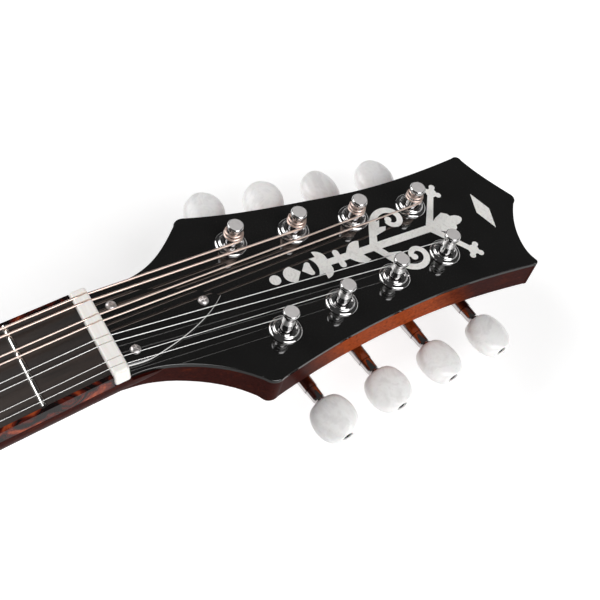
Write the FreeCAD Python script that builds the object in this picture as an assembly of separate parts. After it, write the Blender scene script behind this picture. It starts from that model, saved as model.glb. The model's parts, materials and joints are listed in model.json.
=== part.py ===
"""Short-scale bouzouki: four pairs of strings, flat-topped teardrop body, tilted headstock.

It lies on its back. +X is the treble side, +Y runs from the tail to the headstock and +Z comes
out of the soundboard. The origin is the bottom centre of the bounding box. Millimetres.
"""
import FreeCAD, Part
import math
import os
from FreeCAD import Placement, Rotation, Vector

# ---- driving dimensions ----------------------------------------------------------------------
SCALE = 480.0
FRETS_CLEAR = 14
FRET_COUNT = 20

BODY_DEPTH = 86.0
LOWER_RADIUS = 170.0
SHOULDER_RADIUS = 330.0
NECK_END_RADIUS = 90.0
LOWER_ANGLE = math.radians(10)
SHOULDER_ANGLE = math.radians(45)
NECK_END_HALF = 26.0
TOP_THICK = 3.2
BACK_THICK = 3.2
RIM_THICK = 2.6
BINDING_HEIGHT = 6.0
BINDING_ROUND = 1.0
LINING_WIDTH = 6.0
LINING_HEIGHT = 12.0
SOUND_HOLE_RADIUS = 42.0
SOUND_HOLE_FROM_NECK = 116.0

BOARD_THICK = 6.5
BOARD_EDGE_OUTSIDE_STRING = 3.5
BOARD_BINDING = 1.9
FRET_CROWN_WIDTH = 2.5
FRET_CROWN_HEIGHT = 1.1
FRET_TANG_WIDTH = 0.6
FRET_TANG_DEPTH = 2.0
FRET_END_GAP = 0.05

NUT_THICK = 6.9
NUT_HEIGHT = 8.4
NUT_CREST = 1.6
NUT_HALF = 20.4
STRING_AT_NUT = [-17.0, -13.7, -6.4, -3.3, 3.3, 6.4, 13.7, 17.0]
STRING_AT_BRIDGE = [-26.0, -23.0, -10.3, -7.3, 7.3, 10.3, 23.0, 26.0]
STRING_RADIUS = [0.49, 0.49, 0.39, 0.39, 0.21, 0.21, 0.15, 0.15]
STRING_ABOVE_TOP_AT_NUT = 8.0
STRING_ABOVE_TOP_AT_BRIDGE = 12.0
STRING_ABOVE_TOP_AT_TAIL = 7.2
COIL_HEIGHT = 7.0

HEAD_TILT = 11.7
HEAD_THICK = 15.5
OVERLAY_THICK = 1.8
OVERLAY_EASE = 0.4
BACK_EASE = 1.2
HEAD_ORIGIN_FROM_NUT = 16.56
HEAD_ORIGIN_BELOW_TOP = 1.61
HEAD_PEAK = 193.6

TUNER_SPACING = 29.0
TUNER_ROW_ANGLE = 6.13
TUNER_FIRST = Vector(23.3, 56.3, 0)
POST_HEIGHT = 12.6
POST_RADIUS = 3.2
POST_WAIST = 2.15
CAP_RADIUS = 3.5
RUNNING_GAP = 0.05
SHAFT_DEPTH = 22.4
SHAFT_RADIUS = 1.75
GEAR_MODULE = 0.5
GEAR_TEETH = 14
WORM_PITCH_RADIUS = 1.7
GEAR_WIDTH = 4.2
HOUSING_BOTTOM = 26.2
COVER_THICK = 1.2
BUTTON_CENTRE = 35.2
BUTTON_LENGTH = 18.4
BUTTON_HALF_WIDTH = 9.4
BUTTON_THICK = 10.4
# How far each of the eight buttons is turned about its shaft, in degrees.
BUTTON_TURN = [17, 20, -10, 3, -6, -4, 14, 26]

STRAP_REACH = 13.0

# ---- places worked out from the dimensions ---------------------------------------------------
X_AXIS = Vector(1, 0, 0)
Y_AXIS = Vector(0, 1, 0)
Z_AXIS = Vector(0, 0, 1)
ORIGIN = Vector(0, 0, 0)


def fret_distance(number):
    """Distance from the nut to a fret."""
    return SCALE * (1 - 2 ** (-number / 12))


LOWER_TO_SHOULDER = SHOULDER_RADIUS - LOWER_RADIUS
SHOULDER_TO_NECK = SHOULDER_RADIUS - NECK_END_RADIUS
SHOULDER_CENTRE_X = -LOWER_TO_SHOULDER * math.cos(LOWER_ANGLE)
SHOULDER_CENTRE_Y = LOWER_RADIUS - LOWER_TO_SHOULDER * math.sin(LOWER_ANGLE)
NECK_CENTRE_X = SHOULDER_CENTRE_X + SHOULDER_TO_NECK * math.cos(SHOULDER_ANGLE)
NECK_CENTRE_Y = SHOULDER_CENTRE_Y + SHOULDER_TO_NECK * math.sin(SHOULDER_ANGLE)
BODY_LENGTH = NECK_CENTRE_Y + math.sqrt(NECK_END_RADIUS ** 2 - (NECK_END_HALF - NECK_CENTRE_X) ** 2)

TILT = math.radians(HEAD_TILT)
NUT_TO_PEAK = HEAD_ORIGIN_FROM_NUT + HEAD_PEAK * math.cos(TILT)
TOTAL_LENGTH = STRAP_REACH + BODY_LENGTH + fret_distance(FRETS_CLEAR) + NUT_TO_PEAK
Y_NUT = TOTAL_LENGTH / 2 - NUT_TO_PEAK
Y_NUT_BACK = Y_NUT + NUT_THICK
Y_JOINT = Y_NUT - fret_distance(FRETS_CLEAR)
Y_TAIL = Y_JOINT - BODY_LENGTH
Y_BRIDGE = Y_NUT - SCALE
Y_HOLE = Y_JOINT - SOUND_HOLE_FROM_NECK
Y_BOARD_END = Y_NUT - fret_distance(FRET_COUNT) - 6
Z_TOP = BODY_DEPTH
Z_BOARD = Z_TOP + BOARD_THICK

HEAD = Placement(Vector(0, Y_NUT + HEAD_ORIGIN_FROM_NUT, Z_TOP - HEAD_ORIGIN_BELOW_TOP),
                 Rotation(X_AXIS, -HEAD_TILT))
ROW_ANGLE = math.radians(TUNER_ROW_ANGLE)
WORM_PITCH = math.pi * GEAR_MODULE
GEAR_PITCH_RADIUS = GEAR_MODULE * GEAR_TEETH / 2
WORM_OFFSET = GEAR_PITCH_RADIUS + WORM_PITCH_RADIUS


# ---- small shape helpers ---------------------------------------------------------------------
def save(name, *shapes):
    """Write one node; several separate solids become one compound."""
    shape = shapes[0] if len(shapes) == 1 else Part.makeCompound(list(shapes))
    shape.exportStep("parts/" + name + ".step")


def block(x_low, x_high, y_low, y_high, z_low, z_high):
    """Box between two corners."""
    size = (x_high - x_low, y_high - y_low, z_high - z_low)
    return Part.makeBox(*size, Vector(x_low, y_low, z_low))


def fuse_all(shapes):
    """Join shapes into one solid."""
    return shapes[0].multiFuse(shapes[1:]).removeSplitter() if len(shapes) > 1 else shapes[0]


def turned(profile):
    """Solid of revolution about Z from (radius, height) points."""
    points = [Vector(radius, 0, height) for radius, height in profile]
    face = Part.Face(Part.makePolygon(points + [points[0]]))
    return face.revolve(ORIGIN, Z_AXIS, 360)


def plate(points, z_low, z_high):
    """Flat plate from (x, y) corner points."""
    corners = [Vector(x, y, z_low) for x, y in points]
    return Part.Face(Part.makePolygon(corners + [corners[0]])).extrude(Vector(0, 0, z_high - z_low))


def spline_edge(points):
    """Smooth curve through points."""
    curve = Part.BSplineCurve()
    curve.interpolate(points)
    return curve.toShape()


def arc_edge(start, middle, end):
    """Circular arc through three points."""
    return Part.Arc(start, middle, end).toShape()


def plate_from_edges(edges, thickness):
    """Plate from edges that close a loop in one plane, thickened along Z."""
    wire = Part.Wire(Part.__sortEdges__(edges))
    return Part.Face(wire).extrude(Vector(0, 0, thickness))


def mirrored(shape):
    """The same shape on the other side of the centreline."""
    return shape.mirror(ORIGIN, X_AXIS)


def on_head(shape):
    """Move a shape from the headstock's own frame to its place."""
    placed = shape.copy()
    placed.Placement = HEAD.multiply(placed.Placement)
    return placed


# ---- body ------------------------------------------------------------------------------------
def body_solid(inset, z_low, z_high):
    """The teardrop outline, moved inwards by inset, between two heights."""
    def outline_point(centre_x, centre_y, radius, angle):
        x = centre_x + (radius - inset) * math.cos(angle)
        y = Y_TAIL + centre_y + (radius - inset) * math.sin(angle)
        return Vector(x, y, z_low)

    y_end = Y_JOINT - inset
    end_angle = math.asin((y_end - Y_TAIL - NECK_CENTRE_Y) / (NECK_END_RADIUS - inset))
    lower_end = outline_point(0, LOWER_RADIUS, LOWER_RADIUS, LOWER_ANGLE)
    shoulder = (SHOULDER_CENTRE_X, SHOULDER_CENTRE_Y, SHOULDER_RADIUS)
    shoulder_mid = outline_point(*shoulder, (LOWER_ANGLE + SHOULDER_ANGLE) / 2)
    shoulder_end = outline_point(*shoulder, SHOULDER_ANGLE)
    neck = (NECK_CENTRE_X, NECK_CENTRE_Y, NECK_END_RADIUS)
    neck_mid = outline_point(*neck, (SHOULDER_ANGLE + end_angle) / 2)
    neck_end = outline_point(*neck, end_angle)

    def flip(point):
        return Vector(-point.x, point.y, point.z)

    edges = [
        arc_edge(flip(lower_end), Vector(0, Y_TAIL + inset, z_low), lower_end),
        arc_edge(lower_end, shoulder_mid, shoulder_end),
        arc_edge(shoulder_end, neck_mid, neck_end),
        Part.makeLine(neck_end, flip(neck_end)),
        arc_edge(flip(neck_end), flip(neck_mid), flip(shoulder_end)),
        arc_edge(flip(shoulder_end), flip(shoulder_mid), flip(lower_end)),
    ]
    return Part.Face(Part.Wire(edges)).extrude(Vector(0, 0, z_high - z_low))


def binding(z_low, z_high, z_outer):
    """Binding strip whose outer corner, at z_outer, is rounded."""
    outer = body_solid(0, z_low, z_high)
    corner = [edge for edge in outer.Edges
              if edge.BoundBox.ZLength < 0.01 and abs(edge.BoundBox.ZMin - z_outer) < 0.01]
    return outer.makeFillet(BINDING_ROUND, corner).cut(body_solid(RIM_THICK, z_low, z_high))


def body_ring(outer_inset, inner_inset, z_low, z_high):
    """Band that follows the outline."""
    return body_solid(outer_inset, z_low, z_high).cut(body_solid(inner_inset, z_low, z_high))


TENON_HALF = 11.0
TENON_LENGTH = 20.0
TENON_BOTTOM = 20.0
NECK_BLOCK_HALF = 36.0
NECK_BLOCK_LENGTH = 48.0
TAIL_BLOCK_HALF = 34.0
TAIL_BLOCK_LENGTH = 26.0
BRACE_WIDTH = 8.0
BRACE_HEIGHT = 13.0
INNER_LOW = BACK_THICK
INNER_HIGH = Z_TOP - TOP_THICK


def tenon():
    """The neck's tenon, let into the neck block."""
    return block(-TENON_HALF, TENON_HALF, Y_JOINT - TENON_LENGTH, Y_JOINT, TENON_BOTTOM, INNER_HIGH)


def neck_block_solid():
    blank = block(-NECK_BLOCK_HALF, NECK_BLOCK_HALF, Y_JOINT - NECK_BLOCK_LENGTH, Y_JOINT,
                  INNER_LOW, INNER_HIGH)
    return blank.common(body_solid(RIM_THICK, INNER_LOW, INNER_HIGH))


def tail_block_solid():
    blank = block(-TAIL_BLOCK_HALF, TAIL_BLOCK_HALF, Y_TAIL, Y_TAIL + TAIL_BLOCK_LENGTH,
                  INNER_LOW, INNER_HIGH)
    return blank.common(body_solid(RIM_THICK, INNER_LOW, INNER_HIGH))


def cross_braces(distances, z_low, z_high):
    """Bars across the body between the linings, at distances from the tail."""
    clearance = 0.2
    inside = body_solid(RIM_THICK + LINING_WIDTH + clearance, z_low, z_high)
    bars = []
    for distance in distances:
        middle = Y_TAIL + distance
        bar = block(-LOWER_RADIUS, LOWER_RADIUS, middle - BRACE_WIDTH / 2, middle + BRACE_WIDTH / 2,
                    z_low, z_high)
        bars.append(bar.common(inside))
    return bars


def make_body():
    hole = Part.makeCylinder(SOUND_HOLE_RADIUS, TOP_THICK, Vector(0, Y_HOLE, INNER_HIGH))
    rosette_depth = 1.2
    rosette_outer = Part.makeCylinder(SOUND_HOLE_RADIUS + 13, rosette_depth,
                                      Vector(0, Y_HOLE, Z_TOP - rosette_depth))
    rosette_inner = Part.makeCylinder(SOUND_HOLE_RADIUS + 5, rosette_depth,
                                      Vector(0, Y_HOLE, Z_TOP - rosette_depth))
    rosette = rosette_outer.cut(rosette_inner)
    save("soundboard", body_solid(RIM_THICK, INNER_HIGH, Z_TOP).cut(hole).cut(rosette))
    save("rosette", rosette)
    save("back_plate", body_solid(RIM_THICK, 0, BACK_THICK))
    save("back_binding", binding(0, BINDING_HEIGHT, 0))
    save("top_binding", binding(Z_TOP - BINDING_HEIGHT, Z_TOP, Z_TOP).cut(tenon()))
    screw_holes = Part.makeCompound(tailpiece_screw_shanks() + [strap_screw_shank()])
    rims = body_ring(0, RIM_THICK, BINDING_HEIGHT, Z_TOP - BINDING_HEIGHT)
    save("rims", rims.cut(tenon()).cut(screw_holes))

    neck_block = neck_block_solid()
    tail_block = tail_block_solid()
    lining_inset = RIM_THICK + LINING_WIDTH
    linings = []
    for z_low in (INNER_LOW, INNER_HIGH - LINING_HEIGHT):
        band = body_ring(RIM_THICK, lining_inset, z_low, z_low + LINING_HEIGHT)
        linings.extend(band.cut(neck_block).cut(tail_block).Solids)
    save("linings", *linings)
    save("neck_block", neck_block.cut(tenon()))
    save("tail_block", tail_block.cut(screw_holes))
    save("top_braces", *cross_braces([60, 130, 225, 335], INNER_HIGH - BRACE_HEIGHT, INNER_HIGH))
    save("back_braces", *cross_braces([75, 175, 275], INNER_LOW, INNER_LOW + BRACE_HEIGHT))


# ---- neck, heel and headstock ----------------------------------------------------------------
NECK_DEPTH_AT_HEEL = 23.0
NECK_DEPTH_AT_NUT = 19.0
NECK_PAST_NUT = 40.0
HEEL_CAP_THICK = 4.0
TRUSS_WIDTH = 6.0
TRUSS_DEPTH = 9.0
TRUSS_START = Y_JOINT + 4
TRUSS_POCKET_HALF = 4.6
TRUSS_POCKET_END = 14.0
COVER_CENTRE_X = -0.7
COVER_SCREWS = [Vector(COVER_CENTRE_X - 11.0, -3.7, 0), Vector(COVER_CENTRE_X + 11.0, -3.7, 0),
                Vector(COVER_CENTRE_X, 31.3, 0)]


def string_spread(y):
    """Half-width of the outer pair of strings at a place along the neck."""
    share = (Y_NUT - y) / SCALE
    return STRING_AT_NUT[-1] + share * (STRING_AT_BRIDGE[-1] - STRING_AT_NUT[-1])


def board_half(y):
    """Half-width of the fingerboard."""
    return string_spread(y) + BOARD_EDGE_OUTSIDE_STRING


def neck_section(y, depth):
    """Rounded neck section below the fingerboard plane."""
    half = board_half(min(y, Y_NUT))
    left = Vector(-half, y, Z_TOP)
    right = Vector(half, y, Z_TOP)
    curve = [right, Vector(half * 0.9, y, Z_TOP - depth * 0.5), Vector(half * 0.5, y, Z_TOP - depth * 0.9),
             Vector(0, y, Z_TOP - depth), Vector(-half * 0.5, y, Z_TOP - depth * 0.9),
             Vector(-half * 0.9, y, Z_TOP - depth * 0.5), left]
    return Part.Wire([Part.makeLine(left, right), spline_edge(curve)])


def heel_section(z, half, depth):
    """Half-oval heel section, flat against the body's end."""
    left = Vector(-half, Y_JOINT, z)
    right = Vector(half, Y_JOINT, z)
    curve = [right, Vector(half * 0.8, Y_JOINT + depth * 0.62, z), Vector(0, Y_JOINT + depth, z),
             Vector(-half * 0.8, Y_JOINT + depth * 0.62, z), left]
    return Part.Wire([Part.makeLine(left, right), spline_edge(curve)])


# The headstock's outline in its own frame, one (x, y) curve after another round each side. The
# waist and the peak sit a little towards the bass side.
TREBLE_WAIST = [(20.3, -24), (19.8, -13), (19.3, -6), (20.0, 2.1), (23.8, 14.4), (29.9, 25.8), (40.5, 38)]
TREBLE_EAR = [(40.5, 38), (43.1, 41.4), (42.6, 45)]
TREBLE_FLANK = [(42.6, 45), (36.9, 73), (32.5, 111), (31.8, 147), (32.9, 165), (34.2, 179)]
TREBLE_CORNER = [(34.2, 179), (34.0, 181.0), (32.4, 181.4)]
TREBLE_SCALLOP = [(32.4, 181.4), (28.5, 180.4), (22.0, 180.8), (11.2, 184.6), (1.4, 191.4)]
PEAK = [(1.4, 191.4), (-0.6, HEAD_PEAK - 0.3), (-3.0, HEAD_PEAK - 0.2)]
BASS_SCALLOP = [(-3.0, HEAD_PEAK - 0.2), (-10.5, 189.7), (-20.3, 185.4), (-29.5, 182.4)]
BASS_CORNER = [(-29.5, 182.4), (-31.9, 181.3), (-32.1, 178.7)]
BASS_FLANK = [(-32.1, 178.7), (-30.3, 155), (-30.5, 123), (-33.1, 99.2), (-36.6, 72.9), (-42.8, 43.8)]
BASS_EAR = [(-42.8, 43.8), (-42.9, 41.0), (-40.3, 38)]
BASS_WAIST = [(-40.3, 38), (-32.2, 29), (-26.2, 20), (-22.7, 10), (-21.5, -1), (-20.7, -12), (-20.6, -24)]


def head_plate(z_low, z_high):
    """The headstock's outline in its own frame, between two depths."""
    def at_level(curve):
        return [Vector(x, y, z_low) for x, y in curve]

    edges = [Part.makeLine(at_level(BASS_WAIST)[-1], at_level(TREBLE_WAIST)[0])]
    for curve in (TREBLE_WAIST, TREBLE_FLANK, TREBLE_SCALLOP, BASS_SCALLOP, BASS_FLANK, BASS_WAIST):
        edges.append(spline_edge(at_level(curve)))
    for curve in (TREBLE_EAR, TREBLE_CORNER, PEAK, BASS_CORNER, BASS_EAR):
        edges.append(arc_edge(*at_level(curve)))
    return plate_from_edges(edges, z_high - z_low)


def head_core():
    """The wooden headstock: thinner at the waist, with eased edges at the back."""
    core = head_plate(-HEAD_THICK, -OVERLAY_THICK)
    back_edges = [edge for edge in core.Edges if edge.BoundBox.ZMax < 0.01 - HEAD_THICK]
    core = core.makeFillet(BACK_EASE, back_edges)
    side = [(-26, -30), (-26, -3.5), (-17, -7.0), (-8, -9.3), (2, -10.9), (14, -12.0), (30, -13.0),
            (37, -13.7), (41.5, -HEAD_THICK), (41.5, -30)]
    points = [Vector(-60, y, z) for y, z in side]
    hollow = Part.Face(Part.makePolygon(points + [points[0]])).extrude(Vector(120, 0, 0))
    return on_head(core.cut(hollow))


def tuner_place(index):
    """Where a treble-side tuner sits on the headstock, counted from the nut."""
    along = Vector(-math.sin(ROW_ANGLE), math.cos(ROW_ANGLE), 0)
    return Placement(TUNER_FIRST + along * (TUNER_SPACING * index), Rotation(Z_AXIS, TUNER_ROW_ANGLE))


def on_tuner(shape, number):
    """Place a tuner part. Tuners 1 to 4 are on the bass side, 5 to 8 come back on the treble."""
    index = number - 1 if number <= 4 else 8 - number
    placed = shape.copy()
    placed.Placement = tuner_place(index).multiply(placed.Placement)
    if number <= 4:
        placed = mirrored(placed)
    return on_head(placed)


def all_tuners(shape):
    return [on_tuner(shape, number) for number in range(1, 9)]


BUSHING_RADIUS = 4.6


def tuner_holes():
    """Holes through the headstock for the eight threaded bushings."""
    drill = Part.makeCylinder(BUSHING_RADIUS, HEAD_THICK, Vector(0, 0, -HEAD_THICK))
    return Part.makeCompound(all_tuners(drill))


def truss_pocket():
    """Pocket at the nut where the truss rod's nut is reached."""
    pocket = block(-TRUSS_POCKET_HALF, TRUSS_POCKET_HALF, -16, TRUSS_POCKET_END, -9, 0)
    return on_head(pocket).cut(block(-50, 50, Y_NUT - 50, Y_NUT_BACK, 0, 200))


def cover_screw_holes():
    return Part.makeCompound([on_head(Part.makeCylinder(1.1, 9, place + Vector(0, 0, -9)))
                              for place in COVER_SCREWS])


def truss_channel():
    half = TRUSS_WIDTH / 2
    return block(-half, half, TRUSS_START, Y_NUT_BACK + 6, Z_TOP - TRUSS_DEPTH, Z_TOP)


def make_neck():
    shaft = Part.makeLoft([neck_section(Y_JOINT, NECK_DEPTH_AT_HEEL),
                           neck_section(Y_NUT, NECK_DEPTH_AT_NUT)], True, True)
    throat = Part.makeLoft([neck_section(Y_NUT, NECK_DEPTH_AT_NUT),
                            neck_section(Y_NUT + NECK_PAST_NUT, NECK_DEPTH_AT_NUT)], True, True)
    above_core = on_head(block(-60, 60, -60, 220, -OVERLAY_THICK, 60))
    before_nut_back = block(-60, 60, Y_NUT - 60, Y_NUT_BACK, 0, 200)
    throat = throat.cut(above_core.cut(before_nut_back))
    core = head_core().cut(block(-60, 60, Y_NUT - 60, Y_NUT + 1, 0, 200))
    heel = Part.makeLoft([heel_section(HEEL_CAP_THICK, 14, 17), heel_section(26, 16.5, 20),
                          heel_section(50, 21, 28), heel_section(Z_TOP - 16, 25.6, 46)], True)
    neck = fuse_all([shaft, throat, core, heel, tenon()])
    neck = neck.cut(truss_channel())
    neck = neck.cut(truss_pocket())
    neck = neck.cut(tuner_holes())
    neck = neck.cut(cover_screw_holes())
    neck = neck.cut(Part.makeCompound(all_tuners(ear_screw_shank())))
    save("neck", neck)
    cap_wire = heel_section(0, 14, 17)
    save("heel_cap", Part.Face(cap_wire).extrude(Vector(0, 0, HEEL_CAP_THICK)))

    rod_bar = block(-TRUSS_WIDTH / 2, TRUSS_WIDTH / 2, TRUSS_START, Y_NUT_BACK, Z_TOP - TRUSS_DEPTH,
                    Z_TOP - 1)
    rod_axis = Z_TOP - 5.6
    rod_nut = Part.makeCylinder(2.9, 11, Vector(0, Y_NUT_BACK, rod_axis), Y_AXIS)
    wrench_socket = Part.makeCylinder(1.8, 6, Vector(0, Y_NUT_BACK + 5, rod_axis), Y_AXIS)
    save("truss_rod", rod_bar.fuse(rod_nut).cut(wrench_socket))


def make_fingerboard():
    def tapered(inset, y_low, y_high, z_low, z_high):
        corners = [(-board_half(y_low) + inset, y_low), (board_half(y_low) - inset, y_low),
                   (board_half(y_high) - inset, y_high), (-board_half(y_high) + inset, y_high)]
        return plate(corners, z_low, z_high)

    whole = tapered(0, Y_BOARD_END, Y_NUT, Z_TOP, Z_BOARD)
    board = tapered(BOARD_BINDING, Y_BOARD_END + BOARD_BINDING, Y_NUT, Z_TOP, Z_BOARD)
    save("fingerboard_binding", whole.cut(board))

    frets = []
    for number in range(1, FRET_COUNT + 1):
        y = Y_NUT - fret_distance(number)
        half = board_half(y) - BOARD_BINDING - FRET_END_GAP
        start = Vector(-half, y - FRET_CROWN_WIDTH / 2, Z_BOARD)
        end = Vector(-half, y + FRET_CROWN_WIDTH / 2, Z_BOARD)
        top = Vector(-half, y, Z_BOARD + FRET_CROWN_HEIGHT)
        crown = Part.Face(Part.Wire([arc_edge(start, top, end), Part.makeLine(end, start)]))
        crown = crown.extrude(Vector(2 * half, 0, 0))
        tang = block(-half, half, y - FRET_TANG_WIDTH / 2, y + FRET_TANG_WIDTH / 2,
                     Z_BOARD - FRET_TANG_DEPTH, Z_BOARD)
        frets.append(crown.fuse(tang))
    dot_radius = 3.0
    dot_depth = 1.5
    dots = []
    for number in (5, 7, 10, 12, 15, 17, 19):
        y = Y_NUT - (fret_distance(number) + fret_distance(number - 1)) / 2
        for x in ((-9, 9) if number == 12 else (0,)):
            dots.append(Part.makeCylinder(dot_radius, dot_depth, Vector(x, y, Z_BOARD - dot_depth)))
    board = board.cut(Part.makeCompound(frets)).cut(Part.makeCompound(dots))
    save("fingerboard", board)
    save("frets", *frets)
    save("position_dots", *dots)


def string_slots(bend, y_low, y_high):
    """Open slots for the strings, which bend at one point of their route inside the slot."""
    def opening(point, radius):
        half = radius + 0.06
        floor = point.z - half
        corners = [Vector(point.x + x, point.y, z)
                   for x, z in ((-half, floor), (half, floor), (half, floor + 6), (-half, floor + 6))]
        return Part.makePolygon(corners + [corners[0]])

    def on_line(start, end, y):
        return start + (end - start) * ((y - start.y) / (end.y - start.y))

    slots = []
    for index, radius in enumerate(STRING_RADIUS):
        points = string_route(index)[0]
        before = on_line(points[bend - 1], points[bend], y_low - 1)
        after = on_line(points[bend], points[bend + 1], y_high + 1)
        for start, end in ((before, points[bend]), (points[bend], after)):
            slots.append(Part.makeLoft([opening(start, radius), opening(end, radius)], True, True))
    return slots


def make_nut():
    top = Z_TOP + NUT_HEIGHT
    nut = block(-NUT_HALF, NUT_HALF, Y_NUT, Y_NUT_BACK, Z_TOP, top)
    rounded = [edge for edge in nut.Edges if edge.BoundBox.ZMin > top - 0.1
               or edge.BoundBox.ZLength > NUT_HEIGHT - 0.1]
    nut = nut.makeFillet(1.3, rounded)
    for slot in string_slots(2, Y_NUT, Y_NUT_BACK):
        nut = nut.cut(slot)
    save("nut", nut)


# ---- headstock trim --------------------------------------------------------------------------
INLAY_DEPTH = 0.8


def ribbon(points, widths):
    """Flat strip of changing width along a list of points."""
    left = []
    right = []
    for index, point in enumerate(points):
        ahead = points[min(index + 1, len(points) - 1)]
        behind = points[max(index - 1, 0)]
        along = ahead.sub(behind).normalize()
        across = Vector(-along.y, along.x, 0) * (widths[index] / 2)
        left.append(point + across)
        right.append(point - across)
    edges = [spline_edge(left), Part.makeLine(left[-1], right[-1]), spline_edge(right[::-1]),
             Part.makeLine(right[0], left[0])]
    return plate_from_edges(edges, INLAY_DEPTH)


def disc(x, y, radius):
    return Part.makeCylinder(radius, INLAY_DEPTH, Vector(x, y, 0))


def scroll(sign):
    """Branch that leaves the stem and curls inwards on one side."""
    centreline = [(1.0, 114.6), (9.0, 119.0), (14.9, 124.0), (16.2, 129.0), (14.2, 133.0), (11.5, 134.2),
                  (8.4, 133.3), (7.2, 130.8), (8.6, 128.2), (10.6, 127.6)]
    widths = [3.6, 3.2, 3.1, 3.0, 2.9, 2.8, 2.7, 2.6, 2.5, 2.4]
    curl = ribbon([Vector(sign * x, y, 0) for x, y in centreline], widths)
    spur = [(4.2, 116.0), (5.3, 120.0), (6.2, 124.3), (8.1, 125.6), (8.6, 122.4), (12.1, 124.6),
            (11.4, 120.8)]
    return [curl, disc(sign * 11.0, 128.6, 1.6), plate([(sign * x, y) for x, y in spur], 0, INLAY_DEPTH)]


def club(sign):
    """Arm from the stem's end with three rounded lobes on it."""
    arm = ribbon([Vector(sign * 0.8, 144.6, 0), Vector(sign * 8.0, 149.7, 0), Vector(sign * 16.0, 155.4, 0)],
                 [3.4, 3.0, 2.8])
    centre = Vector(sign * 17.2, 156.6, 0)
    pieces = [arm, disc(centre.x, centre.y, 2.5)]
    for x, y in ((20.0, 158.8), (19.9, 154.4), (15.0, 159.0)):
        lobe = Vector(sign * x, y, 0)
        pieces.append(disc(lobe.x, lobe.y, 1.4))
        pieces.append(ribbon([centre, (centre + lobe) * 0.5, lobe], [3.4, 2.6, 2.4]))
    return pieces


def barb(sign):
    """Half of the arrow leaf on the stem, pointing to the tip."""
    curve = [Vector(sign * x, y, 0)
             for x, y in ((1.0, 100.2), (3.4, 102.2), (5.2, 104.3), (5.9, 107.0), (5.4, 109.4))]
    root = Vector(sign * 1.0, 107.2, 0)
    return plate_from_edges([spline_edge(curve), Part.makeLine(curve[-1], root),
                             Part.makeLine(root, curve[0])], INLAY_DEPTH)


def cup():
    """Open flower at the foot of the stem."""
    def flip(point):
        return Vector(-point.x, point.y, 0)

    tip = Vector(4.6, 83.6, 0)
    notch = Vector(4.5, 86.7, 0)
    petal_tip = Vector(7.4, 86.4, 0)
    belly = Vector(6.3, 89.4, 0)
    foot = Vector(3.2, 91.2, 0)
    edges = [arc_edge(tip, Vector(0, 85.4, 0), flip(tip)), Part.makeLine(foot, flip(foot))]
    for turn in (Vector, flip):
        edges.append(Part.makeLine(turn(tip), turn(notch)))
        edges.append(Part.makeLine(turn(notch), turn(petal_tip)))
        edges.append(arc_edge(turn(petal_tip), turn(belly), turn(foot)))
    return plate_from_edges(edges, INLAY_DEPTH)


def vine():
    """Pearl vine: dot, bud, heart, flower, arrow leaf, two scrolls and a forked top."""
    stem = ribbon([Vector(0, 90, 0), Vector(0, 105, 0), Vector(0, 125, 0), Vector(0, 147, 0)],
                  [3.2, 3.6, 3.8, 3.9])
    bar_half = 3.4
    bar_low = 94.9
    bar_high = 97.8
    bar_end = (bar_high - bar_low) / 2
    bar = plate([(-bar_half, bar_low), (bar_half, bar_low), (bar_half, bar_high), (-bar_half, bar_high)],
                0, INLAY_DEPTH)
    top_leaf = plate([(0, 143.5), (-2.2, 146.9), (-4.2, 150.2), (-5.8, 154.3), (-4.2, 156.6), (-2.7, 157.2),
                      (-2.4, 159.4), (-1.3, 161.2), (0, 161.9), (1.3, 161.2), (2.4, 159.4), (2.7, 157.2),
                      (4.2, 156.6), (5.8, 154.3), (4.2, 150.2), (2.2, 146.9)], 0, INLAY_DEPTH)
    pieces = [stem, cup(), bar, top_leaf]
    for sign in (-1, 1):
        pieces.append(disc(sign * bar_half, bar_low + bar_end, bar_end))
        pieces.append(barb(sign))
        pieces.extend(scroll(sign))
        pieces.extend(club(sign))
    dot = disc(0, 64.7, 2.5)
    bud_side = Vector(4.0, 73.6, 0)
    bud_other = Vector(-4.0, 73.6, 0)
    bud_point = Vector(0, 77.0, 0)
    bud = plate_from_edges([arc_edge(bud_side, Vector(0, 69.0, 0), bud_other),
                            Part.makeLine(bud_other, bud_point), Part.makeLine(bud_point, bud_side)],
                           INLAY_DEPTH)
    heart_body = plate([(0, 77.7), (3.2, 80.5), (2.2, 82.5), (-2.2, 82.5), (-3.2, 80.5)], 0, INLAY_DEPTH)
    heart = fuse_all([heart_body, disc(-2.2, 81.4, 1.25), disc(2.2, 81.4, 1.25)])
    tip_diamond = plate([(0, 170.6), (-10.5, 174.2), (0, 177.8), (10.5, 174.2)], 0, INLAY_DEPTH)
    return [fuse_all(pieces), dot, bud, heart, tip_diamond]


def screw(head_radius, head_height, shank_radius, shank_length):
    """Cross-head screw along Z: the head's underside is at zero and the shank goes down."""
    head = Part.makeCylinder(head_radius, head_height)
    dome_edge = [edge for edge in head.Edges if edge.BoundBox.ZMin > head_height - 0.01]
    head = head.makeFillet(head_height * 0.55, dome_edge)
    shank = Part.makeCylinder(shank_radius, shank_length, Vector(0, 0, -shank_length))
    reach = head_radius * 0.62
    slot = head_radius * 0.13
    depth = head_height * 0.6
    cross = block(-reach, reach, -slot, slot, head_height - depth, head_height + 1)
    cross = cross.fuse(block(-slot, slot, -reach, reach, head_height - depth, head_height + 1))
    return head.fuse(shank).cut(cross)


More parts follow.
